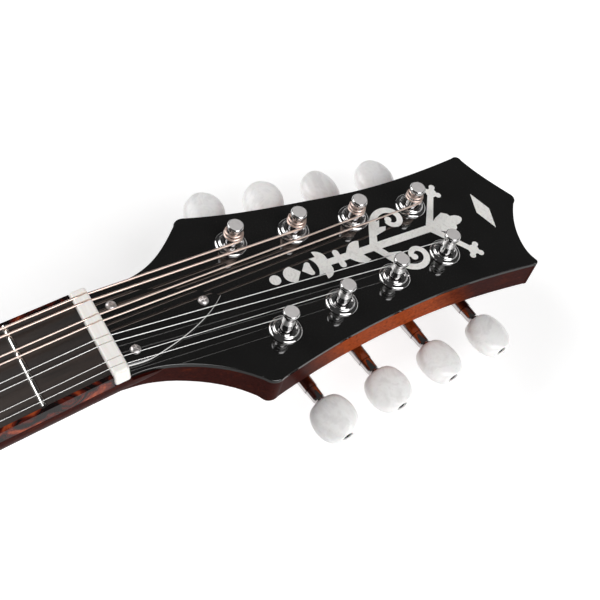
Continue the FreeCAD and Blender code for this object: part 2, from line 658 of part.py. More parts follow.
def cover_wire(inset, z):
    """Edge of the pointed-arch truss rod cover, moved inwards by inset."""
    side = [(16.5, -9.6), (16.9, -4.0), (16.7, 0.5), (15.7, 5.0), (14.4, 10.0), (11.1, 20.0), (6.5, 30.0),
            (0, 39.2)]
    scale = 1 - inset / side[0][0]
    middle = side[-2][1] / 2
    points = [Vector(x * scale, middle + (y - middle) * (1 - inset / middle / 2), z) for x, y in side]
    left = [Vector(-point.x, point.y, point.z) for point in points]
    return Part.Wire([spline_edge(points), spline_edge(left[::-1]), Part.makeLine(left[0], points[0])])


def make_headstock_trim():
    behind_nut = block(-60, 60, Y_NUT - 60, Y_NUT_BACK, 0, 200)
    overlay = head_plate(-OVERLAY_THICK, 0)
    top_edges = [edge for edge in overlay.Edges if edge.BoundBox.ZMin > -0.01]
    overlay = on_head(overlay.makeFillet(OVERLAY_EASE, top_edges)).cut(behind_nut)
    overlay = overlay.cut(truss_pocket()).cut(tuner_holes()).cut(cover_screw_holes())
    inlay = []
    for piece in vine():
        piece.translate(Vector(0, 0, -INLAY_DEPTH))
        inlay.append(on_head(piece).cut(tuner_holes()))
    save("headstock_overlay", overlay.cut(Part.makeCompound(inlay)))
    save("headstock_inlay", *inlay)

    straight = 1.1
    bevel = 0.5
    cover = Part.Face(cover_wire(0, 0)).extrude(Vector(0, 0, straight))
    cover = cover.fuse(Part.makeLoft([cover_wire(0, straight), cover_wire(bevel, straight + bevel)], True, True))
    cover.translate(Vector(COVER_CENTRE_X, 0, 0))
    for place in COVER_SCREWS:
        cover = cover.cut(Part.makeCylinder(1.1, 4, place))
    cover = on_head(cover).cut(behind_nut)
    save("truss_rod_cover", cover)
    cover_screw = screw(2.2, 1.1, 1.1, 8)
    screws = []
    for place in COVER_SCREWS:
        piece = cover_screw.copy()
        piece.translate(place + Vector(0, 0, straight + bevel))
        screws.append(on_head(piece))
    save("cover_screws", *screws)


# ---- tuners: one frame each, X outwards along the shaft, Y towards the tip, Z up the post ------
SHAFT_COLLAR_START = 19.0
BUTTON_START = BUTTON_CENTRE - BUTTON_LENGTH / 2
BUTTON_BORE = 10.4
EAR_OFFSET = -11.0
EAR_RADIUS = 3.4
EAR_THICK = 2.4
CAVITY_TOP = 17.5


def along_shaft(shape):
    """Turn a part made about Z so that Z runs out along the worm shaft."""
    placed = shape.copy()
    turn = Rotation(Vector(0, -1, 0), Vector(0, 0, -1), Vector(1, 0, 0), "ZXY")
    placed.Placement = Placement(Vector(0, WORM_OFFSET, -SHAFT_DEPTH), turn).multiply(placed.Placement)
    return placed


def housing_block(x_low, x_high, margin, z_low, z_high):
    """Rounded block that covers the gear and the worm."""
    size_y_low = -5.9 - margin
    size_y_high = WORM_OFFSET + 3.6 + margin
    shape = block(x_low, x_high, size_y_low, size_y_high, z_low, z_high)
    corners = [edge for edge in shape.Edges if edge.BoundBox.ZLength > abs(z_high - z_low) - 0.01]
    return shape.makeFillet(3.2, corners)


def ear_screw_shank():
    return Part.makeCylinder(1.1, 8, Vector(0, EAR_OFFSET, -HEAD_THICK))


def housing():
    """Hollow die-cast housing, open at the back where its cover sits."""
    outer = housing_block(-8.2, 8.6, 0, -HOUSING_BOTTOM, -HEAD_THICK)
    ear_arm = block(-EAR_RADIUS, EAR_RADIUS, EAR_OFFSET, -4, -HEAD_THICK - EAR_THICK, -HEAD_THICK)
    ear_end = Part.makeCylinder(EAR_RADIUS, EAR_THICK, Vector(0, EAR_OFFSET, -HEAD_THICK - EAR_THICK))
    snout = along_shaft(turned([(0, 8), (3.4, 8), (3.2, 13), (3.1, 18.8), (0, 18.8)]))
    shape = fuse_all([outer, ear_arm, ear_end, snout])
    gear_room = Part.makeCylinder(4.5, HOUSING_BOTTOM, Vector(0, 0, -CAVITY_TOP - HOUSING_BOTTOM))
    worm_room = block(-5.6, 5.6, 0, WORM_OFFSET + 2.5, -HOUSING_BOTTOM - 1, 2.9 - SHAFT_DEPTH)
    post_hole = Part.makeCylinder(POST_RADIUS + RUNNING_GAP, 10, Vector(0, 0, -CAVITY_TOP))
    shaft_hole = along_shaft(Part.makeCylinder(SHAFT_RADIUS + RUNNING_GAP, 27.2, Vector(0, 0, -7)))
    ear_hole = Part.makeCylinder(1.1, 10, Vector(0, EAR_OFFSET, -HEAD_THICK - 5))
    for room in (gear_room, worm_room, post_hole, shaft_hole, ear_hole):
        shape = shape.cut(room)
    return shape


def housing_cover():
    """Pressed cover that closes the housing."""
    shape = housing_block(-8.2, 8.6, 0, -HOUSING_BOTTOM - COVER_THICK, -HOUSING_BOTTOM)
    rim = [edge for edge in shape.Edges if edge.BoundBox.ZMax < -HOUSING_BOTTOM - COVER_THICK + 0.01]
    return shape.makeFillet(0.8, rim)


def ferrule():
    """Threaded bushing with its washer and raised bright ring."""
    bore = POST_RADIUS + RUNNING_GAP
    return turned([(bore, -9.5), (BUSHING_RADIUS, -9.5), (BUSHING_RADIUS, 0), (6.9, 0), (6.9, 0.45),
                   (6.5, 0.85), (5.25, 1.25), (5.05, 1.75), (4.8, 1.95), (4.5, 1.9), (4.35, 1.6), (4.3, 0.6),
                   (bore, 0.6)])


def post():
    """String post with its flange, down to the gear seat."""
    neck_start = -CAVITY_TOP - 0.1
    seat_low = -SHAFT_DEPTH - 2.3
    seat_high = -SHAFT_DEPTH + 2.1
    body = turned([(0, seat_low), (2.2, seat_low), (2.2, seat_high), (4.2, seat_high + 0.2),
                   (4.2, neck_start), (POST_RADIUS, neck_start), (POST_RADIUS, 1.0), (3.15, 1.6), (2.8, 3.0),
                   (2.35, 5.0), (POST_WAIST, 7.0), (POST_WAIST, 9.2), (2.5, 10.0), (3.3, 10.5),
                   (CAP_RADIUS, 11.0), (CAP_RADIUS, 12.1), (3.1, POST_HEIGHT), (0, POST_HEIGHT)])
    string_hole = Part.makeCylinder(0.8, 10, Vector(-5, 0, 7.4), X_AXIS)
    return body.cut(string_hole)


def gear():
    """Gear pressed on the post's lower end."""
    tip = GEAR_PITCH_RADIUS + GEAR_MODULE
    root = GEAR_PITCH_RADIUS - 1.25 * GEAR_MODULE
    half_tip = 0.15
    half_root = 0.48
    z_low = -SHAFT_DEPTH - GEAR_WIDTH / 2
    wheel = Part.makeCylinder(root, GEAR_WIDTH, Vector(0, 0, z_low))
    tooth = plate([(-half_root, root - 0.2), (half_root, root - 0.2), (half_tip, tip), (-half_tip, tip)],
                  z_low, z_low + GEAR_WIDTH)
    teeth = []
    for number in range(GEAR_TEETH):
        copy = tooth.copy()
        copy.rotate(ORIGIN, Z_AXIS, number * 360 / GEAR_TEETH)
        teeth.append(copy)
    seat = Part.makeCylinder(2.2, GEAR_WIDTH, Vector(0, 0, z_low))
    return wheel.multiFuse(teeth).cut(seat)


def worm_shaft():
    """Steel shaft with its worm thread and the flared collar against the button."""
    turns = 5
    length = turns * WORM_PITCH
    root = WORM_PITCH_RADIUS - 0.6
    tip = WORM_PITCH_RADIUS + 0.5
    helix = Part.makeHelix(WORM_PITCH, length, root)
    helix.translate(Vector(0, 0, -length / 2))
    start = -length / 2
    sunk = 0.15
    profile = Part.makePolygon([Vector(root - sunk, 0, start - 0.45), Vector(tip, 0, start - 0.12),
                                Vector(tip, 0, start + 0.12), Vector(root - sunk, 0, start + 0.45),
                                Vector(root - sunk, 0, start - 0.45)])
    thread = Part.Wire(helix).makePipeShell([Part.Wire(profile)], True, True)
    core = turned([(0, -6.9), (SHAFT_RADIUS, -6.9), (SHAFT_RADIUS, -5.4), (root, -4.8), (root, 4.8),
                   (SHAFT_RADIUS, 5.4), (SHAFT_RADIUS, SHAFT_COLLAR_START), (2.85, SHAFT_COLLAR_START),
                   (2.7, BUTTON_START - 2.2), (2.5, BUTTON_START - 1.5), (3.2, BUTTON_START - 0.4),
                   (3.3, BUTTON_START),
                   (SHAFT_RADIUS, BUTTON_START), (SHAFT_RADIUS, BUTTON_START + BUTTON_BORE),
                   (0, BUTTON_START + BUTTON_BORE)])
    return along_shaft(core.fuse(thread))


def button_section(height, half_width):
    """Blunt oval across the button at one height."""
    half_thick = BUTTON_THICK / 2 * (0.55 + 0.45 * half_width / BUTTON_HALF_WIDTH)
    bluntness = 2 / 2.4
    count = 24
    points = []
    for step in range(count):
        angle = 2 * math.pi * step / count
        across = math.cos(angle)
        deep = math.sin(angle)
        points.append(Vector(math.copysign(half_width * abs(across) ** bluntness, across),
                             math.copysign(half_thick * abs(deep) ** bluntness, deep), height))
    curve = Part.BSplineCurve()
    curve.interpolate(points, PeriodicFlag=True)
    return Part.Wire(curve.toShape())


def button():
    """Chunky oval button, made about its shaft (Z)."""
    sections = [(0, 4.7), (1.1, 6.8), (2.8, 8.0), (5.5, 8.95), (9.0, BUTTON_HALF_WIDTH), (12.9, 8.7),
                (15.6, 7.25), (17.5, 5.4), (BUTTON_LENGTH, 2.8)]
    shape = Part.makeLoft([button_section(height, half) for height, half in sections], True, False)
    bore = Part.makeCylinder(SHAFT_RADIUS, BUTTON_BORE, ORIGIN)
    recess = Part.makeCylinder(2.3, 3, Vector(0, 0, BUTTON_LENGTH - 1.8))
    pilot = Part.makeCylinder(0.9, BUTTON_LENGTH, Vector(0, 0, 2))
    return shape.cut(bore).cut(recess).cut(pilot)


def button_screw():
    piece = screw(2.1, 1.0, 0.9, 5.8)
    piece.translate(Vector(0, 0, BUTTON_LENGTH - 1.8))
    return piece


def make_tuners():
    save("tuner_housings", *all_tuners(housing()))
    save("tuner_covers", *all_tuners(housing_cover()))
    save("tuner_ferrules", *all_tuners(ferrule()))
    ear_screw = screw(2.1, 1.2, 1.1, 7.5)
    ear_screw.rotate(ORIGIN, X_AXIS, 180)
    ear_screw.translate(Vector(0, EAR_OFFSET, -HEAD_THICK - EAR_THICK))
    save("tuner_mounting_screws", *all_tuners(ear_screw))
    shaft = worm_shaft()
    post_shape = post()
    gear_shape = gear()
    for number in range(1, 9):
        save("tuner_post_%d" % number, on_tuner(post_shape, number), on_tuner(gear_shape, number))
        save("tuner_shaft_%d" % number, on_tuner(shaft, number))
        pieces = []
        for piece in (button(), button_screw()):
            piece.rotate(ORIGIN, Z_AXIS, BUTTON_TURN[number - 1])
            piece.translate(Vector(0, 0, BUTTON_START))
            pieces.append(on_tuner(along_shaft(piece), number))
        save("tuner_button_%d" % number, *pieces)


# ---- bridge, tailpiece and strap button -------------------------------------------------------
TAIL_BAR_NEAR = 52.0
TAIL_BAR_FAR = 58.0
TAIL_PLATE_LOW = 3.0
TAIL_PLATE_THICK = 2.2
TAIL_FLANGE_DROP = 36.0
STRAP_HEIGHT = 34.0
TAIL_HOLE_RADIUS = 1.0
TAIL_SPREAD = 1.1


def tailpiece_screw_places():
    return [Vector(-11, Y_TAIL - 2.2, Z_TOP - 16), Vector(11, Y_TAIL - 2.2, Z_TOP - 16),
            Vector(0, Y_TAIL - 2.2, Z_TOP - 29)]


def tailpiece_screw_shanks():
    return [Part.makeCylinder(1.5, 20, place, Y_AXIS) for place in tailpiece_screw_places()]


def strap_screw_shank():
    return Part.makeCylinder(1.8, 36, Vector(0, Y_TAIL - STRAP_REACH + 1, STRAP_HEIGHT), Y_AXIS)


def make_bridge():
    base_half = 56.0
    base_width = 12.0
    z = Z_TOP
    outline = [(-base_half, z), (-30, z), (-27, z + 2), (27, z + 2), (30, z), (base_half, z),
               (base_half, z + 3), (38, z + 6.5), (32, z + 9.4), (-32, z + 9.4), (-38, z + 6.5),
               (-base_half, z + 3)]
    corners = [Vector(x, Y_BRIDGE - base_width / 2, height) for x, height in outline]
    bridge = Part.Face(Part.makePolygon(corners + [corners[0]])).extrude(Vector(0, base_width, 0))
    saddle = block(-30.5, 30.5, Y_BRIDGE - 1.6, Y_BRIDGE + 1.6, z + 6.6,
                   z + STRING_ABOVE_TOP_AT_BRIDGE + 0.1)
    save("bridge", bridge.cut(saddle))
    for slot in string_slots(1, Y_BRIDGE - 1.6, Y_BRIDGE + 1.6):
        saddle = saddle.cut(slot)
    save("saddle", saddle)


def make_tailpiece():
    low = Z_TOP + TAIL_PLATE_LOW
    high = low + TAIL_PLATE_THICK
    plate_top = plate([(-20, Y_TAIL - 2.2), (20, Y_TAIL - 2.2), (34, Y_TAIL + TAIL_BAR_FAR),
                       (-34, Y_TAIL + TAIL_BAR_FAR)], low, high)
    bar = block(-34, 34, Y_TAIL + TAIL_BAR_NEAR, Y_TAIL + TAIL_BAR_FAR, high, Z_TOP + 10)
    flange = block(-20, 20, Y_TAIL - 2.2, Y_TAIL + 2, Z_TOP - TAIL_FLANGE_DROP, high)
    flange = flange.cut(body_solid(0, 0, Z_TOP)).cut(block(-30, 30, Y_TAIL, Y_TAIL + 5, Z_TOP, low))
    tailpiece = fuse_all([plate_top, bar, flange])
    bottom_corners = [edge for edge in tailpiece.Edges
                      if edge.BoundBox.ZMax < Z_TOP - TAIL_FLANGE_DROP + 0.01
                      and edge.BoundBox.XLength < 0.01]
    tailpiece = tailpiece.makeFillet(8, bottom_corners)
    holes = [Part.makeCylinder(TAIL_HOLE_RADIUS, 10, Vector(x * TAIL_SPREAD, Y_TAIL + TAIL_BAR_NEAR - 2,
                                                            Z_TOP + STRING_ABOVE_TOP_AT_TAIL), Y_AXIS)
             for x in STRING_AT_BRIDGE]
    tailpiece = tailpiece.cut(Part.makeCompound(holes + tailpiece_screw_shanks()))
    save("tailpiece", tailpiece)
    screws = []
    for place in tailpiece_screw_places():
        piece = screw(3.2, 1.6, 1.5, 20)
        piece.rotate(ORIGIN, X_AXIS, 90)
        piece.translate(place)
        screws.append(piece)
    save("tailpiece_screws", *screws)

    knob = turned([(1.8, 0), (7.0, 0), (7.0, 1.0), (4.6, 3.2), (4.3, 6.5), (5.2, 9.0), (7.4, 10.6),
                   (7.4, 11.6), (6.6, 12.2), (1.8, 12.2)])
    knob.rotate(ORIGIN, X_AXIS, 90)
    knob.translate(Vector(0, Y_TAIL + 0.3, STRAP_HEIGHT))
    save("strap_button", knob.cut(body_solid(0, 0, Z_TOP)))
    strap_screw = screw(3.4, 1.1, 1.8, 34)
    strap_screw.rotate(ORIGIN, X_AXIS, 90)
    strap_screw.translate(Vector(0, Y_TAIL - STRAP_REACH + 1.1, STRAP_HEIGHT))
    save("strap_button_screw", strap_screw)


# ---- strings ---------------------------------------------------------------------------------
def tube(points, radius):
    """Taut string: straight runs with mitred bends."""
    profile = Part.Wire(Part.makeCircle(radius, points[0], points[1].sub(points[0])))
    mitred = 1
    return Part.makePolygon(points).makePipeShell([profile], True, True, mitred)


def string_route(index):
    """Points from the tailpiece over the saddle and the nut to the post."""
    radius = STRING_RADIUS[index]
    number = index + 1
    row = index if number <= 4 else 8 - number
    sign = -1 if number <= 4 else 1
    place = tuner_place(row).Base
    post_axis = Vector(sign * place.x, place.y, 0)
    nut_crest = Vector(STRING_AT_NUT[index], Y_NUT + NUT_CREST, Z_TOP + STRING_ABOVE_TOP_AT_NUT)
    nut_on_head = HEAD.inverse().multVec(nut_crest)
    run = Vector(post_axis.x - nut_on_head.x, post_axis.y - nut_on_head.y, 0)
    reach = POST_WAIST + 0.35 + radius
    turn = math.asin(reach / run.Length)
    heading = math.atan2(run.y, run.x) + sign * turn
    length = math.sqrt(run.Length ** 2 - reach ** 2)
    touch = Vector(nut_on_head.x + length * math.cos(heading), nut_on_head.y + length * math.sin(heading),
                   COIL_HEIGHT)
    tail_end = Vector(STRING_AT_BRIDGE[index] * TAIL_SPREAD, Y_TAIL + TAIL_BAR_NEAR,
                      Z_TOP + STRING_ABOVE_TOP_AT_TAIL)
    saddle_top = Vector(STRING_AT_BRIDGE[index], Y_BRIDGE, Z_TOP + STRING_ABOVE_TOP_AT_BRIDGE)
    return [tail_end, saddle_top, nut_crest, HEAD.multVec(touch)], post_axis, reach


def string_solid(index):
    """One string with its ball end and its coil on the post."""
    radius = STRING_RADIUS[index]
    points, post_axis, reach = string_route(index)
    coil_half = radius * 2.5
    low = post_axis + Vector(0, 0, COIL_HEIGHT - coil_half)
    ring = Part.makeCylinder(reach + radius, 2 * coil_half, low)
    ring = ring.cut(Part.makeCylinder(reach - radius, 2 * coil_half, low))
    ball = Part.makeCylinder(1.8, 2.6, points[0] + Vector(0, -2.6, 0), Y_AXIS)
    length = sum(end.sub(start).Length for start, end in zip(points, points[1:]))
    print("string", index + 1, "length from ball to post", round(length, 1))
    return fuse_all([tube(points, radius), on_head(ring), ball])


def make_strings():
    save("wound_strings", *[string_solid(index) for index in range(4)])
    save("plain_strings", *[string_solid(index) for index in range(4, 8)])


os.makedirs("parts", exist_ok=True)
make_body()
make_neck()
make_fingerboard()
make_nut()
make_headstock_trim()
make_tuners()
make_bridge()
make_tailpiece()
make_strings()
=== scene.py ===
"""Looks of the short-scale bouzouki: materials, strings, tuners and trim around the CAD frame."""
import json
import math

import bmesh
import bpy
from mathutils import Matrix, Vector


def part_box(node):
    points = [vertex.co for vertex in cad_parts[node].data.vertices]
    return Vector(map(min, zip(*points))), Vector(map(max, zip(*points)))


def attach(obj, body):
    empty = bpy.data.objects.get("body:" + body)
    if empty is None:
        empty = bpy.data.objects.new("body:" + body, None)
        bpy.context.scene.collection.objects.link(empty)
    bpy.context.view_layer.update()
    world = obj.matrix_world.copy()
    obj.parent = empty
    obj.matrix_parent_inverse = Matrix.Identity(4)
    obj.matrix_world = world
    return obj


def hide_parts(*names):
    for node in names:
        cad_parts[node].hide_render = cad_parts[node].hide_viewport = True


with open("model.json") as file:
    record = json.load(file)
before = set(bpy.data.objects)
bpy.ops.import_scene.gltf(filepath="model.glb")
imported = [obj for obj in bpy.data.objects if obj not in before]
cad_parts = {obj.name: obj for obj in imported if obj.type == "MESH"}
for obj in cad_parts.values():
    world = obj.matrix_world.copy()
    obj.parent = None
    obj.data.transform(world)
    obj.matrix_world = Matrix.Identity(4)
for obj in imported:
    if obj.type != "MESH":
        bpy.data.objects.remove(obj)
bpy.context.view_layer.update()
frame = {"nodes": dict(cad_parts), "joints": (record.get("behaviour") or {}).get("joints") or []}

MM = 0.001
ROOT = "instrument"

# ---- sizes in millimetres, unless a comment says otherwise -------------------------------------
FIRST_POST_ALONG = 56.3

# Strings and coils, one value per string from the bass side.
STRING_AT_NUT = [-17.0, -13.7, -6.4, -3.3, 3.3, 6.4, 13.7, 17.0]
STRING_AT_BRIDGE = [-26.0, -23.0, -10.3, -7.3, 7.3, 10.3, 23.0, 26.0]
STRING_RADIUS = [0.49, 0.49, 0.39, 0.39, 0.21, 0.21, 0.15, 0.15]
COIL_TURNS = [2.6, 2.7, 2.9, 2.8, 4.6, 4.4, 5.2, 5.0]  # whole turns
COIL_PITCH = [1.62, 1.56, 1.46, 1.50, 0.66, 0.70, 0.50, 0.52]
COIL_SLACK = [1.10, 1.05, 0.95, 1.00, 0.30, 0.30, 0.25, 0.25]

STRING_AT_NUT_UP = 8.0
STRING_AT_BRIDGE_UP = 12.0
STRING_AT_TAIL_UP = 7.2
STRING_BEND = 1.5
NUT_CREST = 1.6
TAIL_SPREAD = 1.1  # share of the spacing at the bridge
TAIL_BAR_THICK = 6.0
COIL_LOW = 5.5
COIL_STEPS_PER_TURN = 32  # count
COIL_WANDER = 0.16  # share of the string's radius
COIL_WANDER_RATE = 1.7  # waves per turn
COIL_SETTLE = 0.85  # share of the slack that the last turn has lost
COIL_SETTLE_POWER = 2.5  # exponent of the share of the turns, so that the last turns settle most
COIL_END_INWARD = 0.75  # share of the way from the coil to the post's middle
POST_WAIST = 2.15

BUTTON_LENGTH = 18.4
BUTTON_CENTRE = 35.2
BUTTON_HALF_WIDTH = 9.4
BUTTON_HALF_THICK = 5.2
BUTTON_THIN_SHARE = 0.55  # share of the half-thickness that is left where the width is nil
BUTTON_SQUARENESS = 2.4  # exponent of the rounded-square section; 2 is an ellipse
BUTTON_SIDES = 64  # count
RECESS_RADIUS = 2.34
RECESS_BLEND = 1.2  # width over which the round recess turns into the button's own section
BUTTON_SCREW_DEEP = 1.65
BUTTON_SCREW_RADIUS = 2.2
BUTTON_SCREW_HEIGHT = 1.3

COVER_TOP = 1.6
COVER_SCREWS = [(-11.7, -3.7), (10.3, -3.7), (-0.7, 31.3)]
COVER_SCREW_RADIUS = 2.2
COVER_SCREW_HEIGHT = 1.1
COVER_SCREW_TURN = 0.5  # radians from one screw's cross to the next
# Height band of the painted highlight on the cover's bevel, drawn as a white ply, in millimetres above the
# face.
PAINTED_EDGE_HIGHLIGHT_LOW = 0.66
PAINTED_EDGE_HIGHLIGHT_HIGH = 1.25
PAINTED_EDGE_HIGHLIGHT_FADE = 0.01

# Painted sheen of the headstock's wood, a lighter zone with darker wood outside it: where it lies along the
# neck and how it fades, in metres, how much it adds to the figure, and how far the colours move to make room
# for it.
PAINTED_SHEEN_ZONE = (0.338, 0.370)
PAINTED_SHEEN_FADE = 0.03
PAINTED_SHEEN_LIFT = 0.36
PAINTED_SHEEN_DEPTH = 0.26


# ---- places read from the frame ----------------------------------------------------------------
def joint_line(name):
    """A joint's point and unit axis."""
    for joint in frame["joints"]:
        if joint["name"] == name:
            return Vector(joint["pos_m"]), Vector(joint["axis"]).normalized()
    raise KeyError(name)


def tuner_frame(number):
    """Matrix of a string post: X out along the worm shaft, Z up the post, origin on the face."""
    place, up = joint_line("post_%d_turn" % number)
    out = joint_line("button_%d_turn" % number)[1]
    side = up.cross(out).normalized()
    matrix = Matrix((out, side, up)).transposed().to_4x4()
    matrix.translation = place
    return matrix


def shaft_frame(number):
    """Matrix of a worm shaft: Z out along the shaft, Y up from the headstock face."""
    place, out = joint_line("button_%d_turn" % number)
    up = joint_line("post_%d_turn" % number)[1]
    across = up.cross(out).normalized()
    matrix = Matrix((across, up, out)).transposed().to_4x4()
    matrix.translation = place
    return matrix


def head_frame():
    """Matrix of the headstock face: Y towards the tip, Z out of the face."""
    left, up = joint_line("post_1_turn")
    right = joint_line("post_8_turn")[0]
    across = Vector((1, 0, 0))
    along = up.cross(across).normalized()
    matrix = Matrix((across, along, up)).transposed().to_4x4()
    matrix.translation = (left + right) / 2 - along * FIRST_POST_ALONG * MM
    return matrix


HEAD = head_frame()
NUT_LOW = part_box("nut")[0]
SADDLE_LOW, SADDLE_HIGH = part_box("saddle")
TAIL_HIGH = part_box("tailpiece")[1]
Y_NUT = NUT_LOW.y
Z_TOP = NUT_LOW.z


# ---- node materials ----------------------------------------------------------------------------
class Recipe:
    """One procedural material and short calls for the nodes that it needs."""

    def __init__(self, name, roughness, metallic=0.0, coat=0.0, coat_roughness=0.05):
        self.material = bpy.data.materials.new(name)
        self.material.use_nodes = True
        self.nodes = self.material.node_tree.nodes
        self.links = self.material.node_tree.links
        self.shader = self.nodes["Principled BSDF"]
        self.set("Roughness", roughness)
        self.set("Metallic", metallic)
        self.set("Coat Weight", coat)
        self.set("Coat Roughness", coat_roughness)

    def set(self, socket, value):
        """Give one of the shader's own sockets a plain value."""
        self.shader.inputs[socket].default_value = value

    def link(self, output, socket):
        """Feed one of the shader's sockets from a node."""
        self.links.new(output, self.shader.inputs[socket])

    def place(self, scale=(1, 1, 1), source="Object"):
        """Coordinates in metres, scaled along each axis."""
        coords = self.nodes.new("ShaderNodeTexCoord")
        mapping = self.nodes.new("ShaderNodeMapping")
        mapping.inputs["Scale"].default_value = scale
        self.links.new(coords.outputs[source], mapping.inputs["Vector"])
        return mapping.outputs["Vector"]

    def noise(self, vector, scale, detail=4.0, roughness=0.5, distortion=0.0):
        """Cloudy noise between about 0.3 and 0.7."""
        node = self.nodes.new("ShaderNodeTexNoise")
        node.inputs["Scale"].default_value = scale
        node.inputs["Detail"].default_value = detail
        node.inputs["Roughness"].default_value = roughness
        node.inputs["Distortion"].default_value = distortion
        self.links.new(vector, node.inputs["Vector"])
        return node.outputs["Fac"]

    def bands(self, vector, scale, distortion=0.0, detail=2.0, detail_scale=1.0):
        """Soft stripes across X."""
        node = self.nodes.new("ShaderNodeTexWave")
        node.inputs["Scale"].default_value = scale
        node.inputs["Distortion"].default_value = distortion
        node.inputs["Detail"].default_value = detail
        node.inputs["Detail Scale"].default_value = detail_scale
        self.links.new(vector, node.inputs["Vector"])
        return node.outputs["Fac"]

    def ramp(self, factor, *stops):
        """Colour ramp from (position, colour) stops."""
        node = self.nodes.new("ShaderNodeValToRGB")
        elements = node.color_ramp.elements
        while len(elements) < len(stops):
            elements.new(0.5)
        for element, (position, colour) in zip(elements, stops):
            element.position = position
            element.color = (*colour, 1)
        self.links.new(factor, node.inputs["Fac"])
        return node.outputs["Color"]

    def spread(self, factor, low, high, from_low=0.0, from_high=1.0):
        """Map a factor to a range of numbers."""
        node = self.nodes.new("ShaderNodeMapRange")
        node.inputs["From Min"].default_value = from_low
        node.inputs["From Max"].default_value = from_high
        node.inputs["To Min"].default_value = low
        node.inputs["To Max"].default_value = high
        self.links.new(factor, node.inputs["Value"])
        return node.outputs["Result"]

    def mask(self, factor, start, end):
        """Zero up to start, one from end on."""
        return self.spread(factor, 0.0, 1.0, start, end)

    def mix(self, factor, first, second, blend="MIX"):
        """Blend two colour outputs; factor is an output or a number."""
        node = self.nodes.new("ShaderNodeMix")
        node.data_type = "RGBA"
        node.blend_type = blend
        if isinstance(factor, (int, float)):
            node.inputs[0].default_value = factor
        else:
            self.links.new(factor, node.inputs[0])
        self.links.new(first, node.inputs[6])
        self.links.new(second, node.inputs[7])
        return node.outputs[2]

    def add(self, first, second, share=1.0):
        """first + second * share, as numbers."""
        node = self.nodes.new("ShaderNodeMath")
        node.operation = "MULTIPLY_ADD"
        self.links.new(second, node.inputs[0])
        node.inputs[1].default_value = share
        self.links.new(first, node.inputs[2])
        return node.outputs[0]

    def part(self, vector, index):
        """One of a vector's three numbers."""
        split = self.nodes.new("ShaderNodeSeparateXYZ")
        self.links.new(vector, split.inputs[0])
        return split.outputs[index]

    def height(self, matrix):
        """Height in metres above a matrix's XY plane."""
        up = matrix.col[2].to_3d()
        along = self.nodes.new("ShaderNodeVectorMath")
        along.operation = "DOT_PRODUCT"
        along.inputs[1].default_value = up
        self.links.new(self.place(), along.inputs[0])
        rise = self.nodes.new("ShaderNodeMath")
        rise.operation = "SUBTRACT"
        self.links.new(along.outputs["Value"], rise.inputs[0])
        rise.inputs[1].default_value = up.dot(matrix.translation)
        return rise.outputs[0]

    def mirror_x(self, vector):
        """Fold the coordinates about the centreline, as two matched boards are."""
        fold = self.nodes.new("ShaderNodeMath")
        join = self.nodes.new("ShaderNodeCombineXYZ")
        fold.operation = "ABSOLUTE"
        self.links.new(self.part(vector, 0), fold.inputs[0])
        self.links.new(fold.outputs[0], join.inputs[0])
        self.links.new(self.part(vector, 1), join.inputs[1])
        self.links.new(self.part(vector, 2), join.inputs[2])
        return join.outputs[0]

    def between(self, value, start, end, fade):
        """One from start to end, fading to zero outside them."""
        both = self.nodes.new("ShaderNodeMath")
        both.operation = "MULTIPLY"
        self.links.new(self.mask(value, start - fade, start), both.inputs[0])
        self.links.new(self.spread(value, 1.0, 0.0, end, end + fade), both.inputs[1])
        return both.outputs[0]

    def bump(self, height, strength, distance=0.0002):
        """Relief of the surface; distance is in metres."""
        node = self.nodes.new("ShaderNodeBump")
        node.inputs["Strength"].default_value = strength
        node.inputs["Distance"].default_value = distance
        self.links.new(height, node.inputs["Height"])
        self.link(node.outputs["Normal"], "Normal")


WHITE = (1.0, 1.0, 1.0)


def shaded(colour, share):
    """A colour darkened to a share of its light."""
    return tuple(value * share for value in colour)


BLACK = (0.0058, 0.0056, 0.0054)
HAZY_BLACK = (0.0088, 0.0086, 0.0083)


def black_lacquer(name, roughness):
    """Recipe of polished black lacquer with faint haze, duller on upright edges, and its colour."""
    recipe = Recipe(name, roughness, coat_roughness=0.02)
    facing_up = recipe.part(recipe.place(source="Normal"), 2)
    recipe.set("Specular IOR Level", 0.2)
    recipe.set("Coat IOR", 1.75)
    recipe.link(recipe.mask(facing_up, start=0.55, end=0.9), "Coat Weight")
    haze = recipe.noise(recipe.place(), scale=45, detail=5)
    recipe.link(recipe.spread(haze, low=roughness * 0.7, high=roughness * 1.5), "Roughness")
    ripple = recipe.noise(recipe.place(), scale=140, detail=2)
    recipe.bump(ripple, strength=0.03)
    return recipe, recipe.ramp(haze, (0.3, BLACK), (0.7, HAZY_BLACK))


def gloss_black(name, roughness):
    """Polished black lacquer."""
    recipe, black = black_lacquer(name, roughness)
    recipe.link(black, "Base Color")
    return recipe.material


def black_with_painted_edge_highlight(name, roughness):
    """Black plastic sheet with a painted highlight along its bevelled edge, drawn as a thin white layer."""
    recipe, black = black_lacquer(name, roughness)
    # Painted highlight: a white band at this height along the cover's bevel, drawn as a white ply.
    layer = recipe.between(recipe.height(HEAD), PAINTED_EDGE_HIGHLIGHT_LOW * MM, PAINTED_EDGE_HIGHLIGHT_HIGH * MM,
                           PAINTED_EDGE_HIGHLIGHT_FADE * MM)
    grain = recipe.noise(recipe.place(), scale=600)
    white = recipe.ramp(grain, (0.0, (0.80, 0.79, 0.77)), (1.0, (0.90, 0.89, 0.87)))
    recipe.link(recipe.mix(layer, black, white), "Base Color")
    return recipe.material


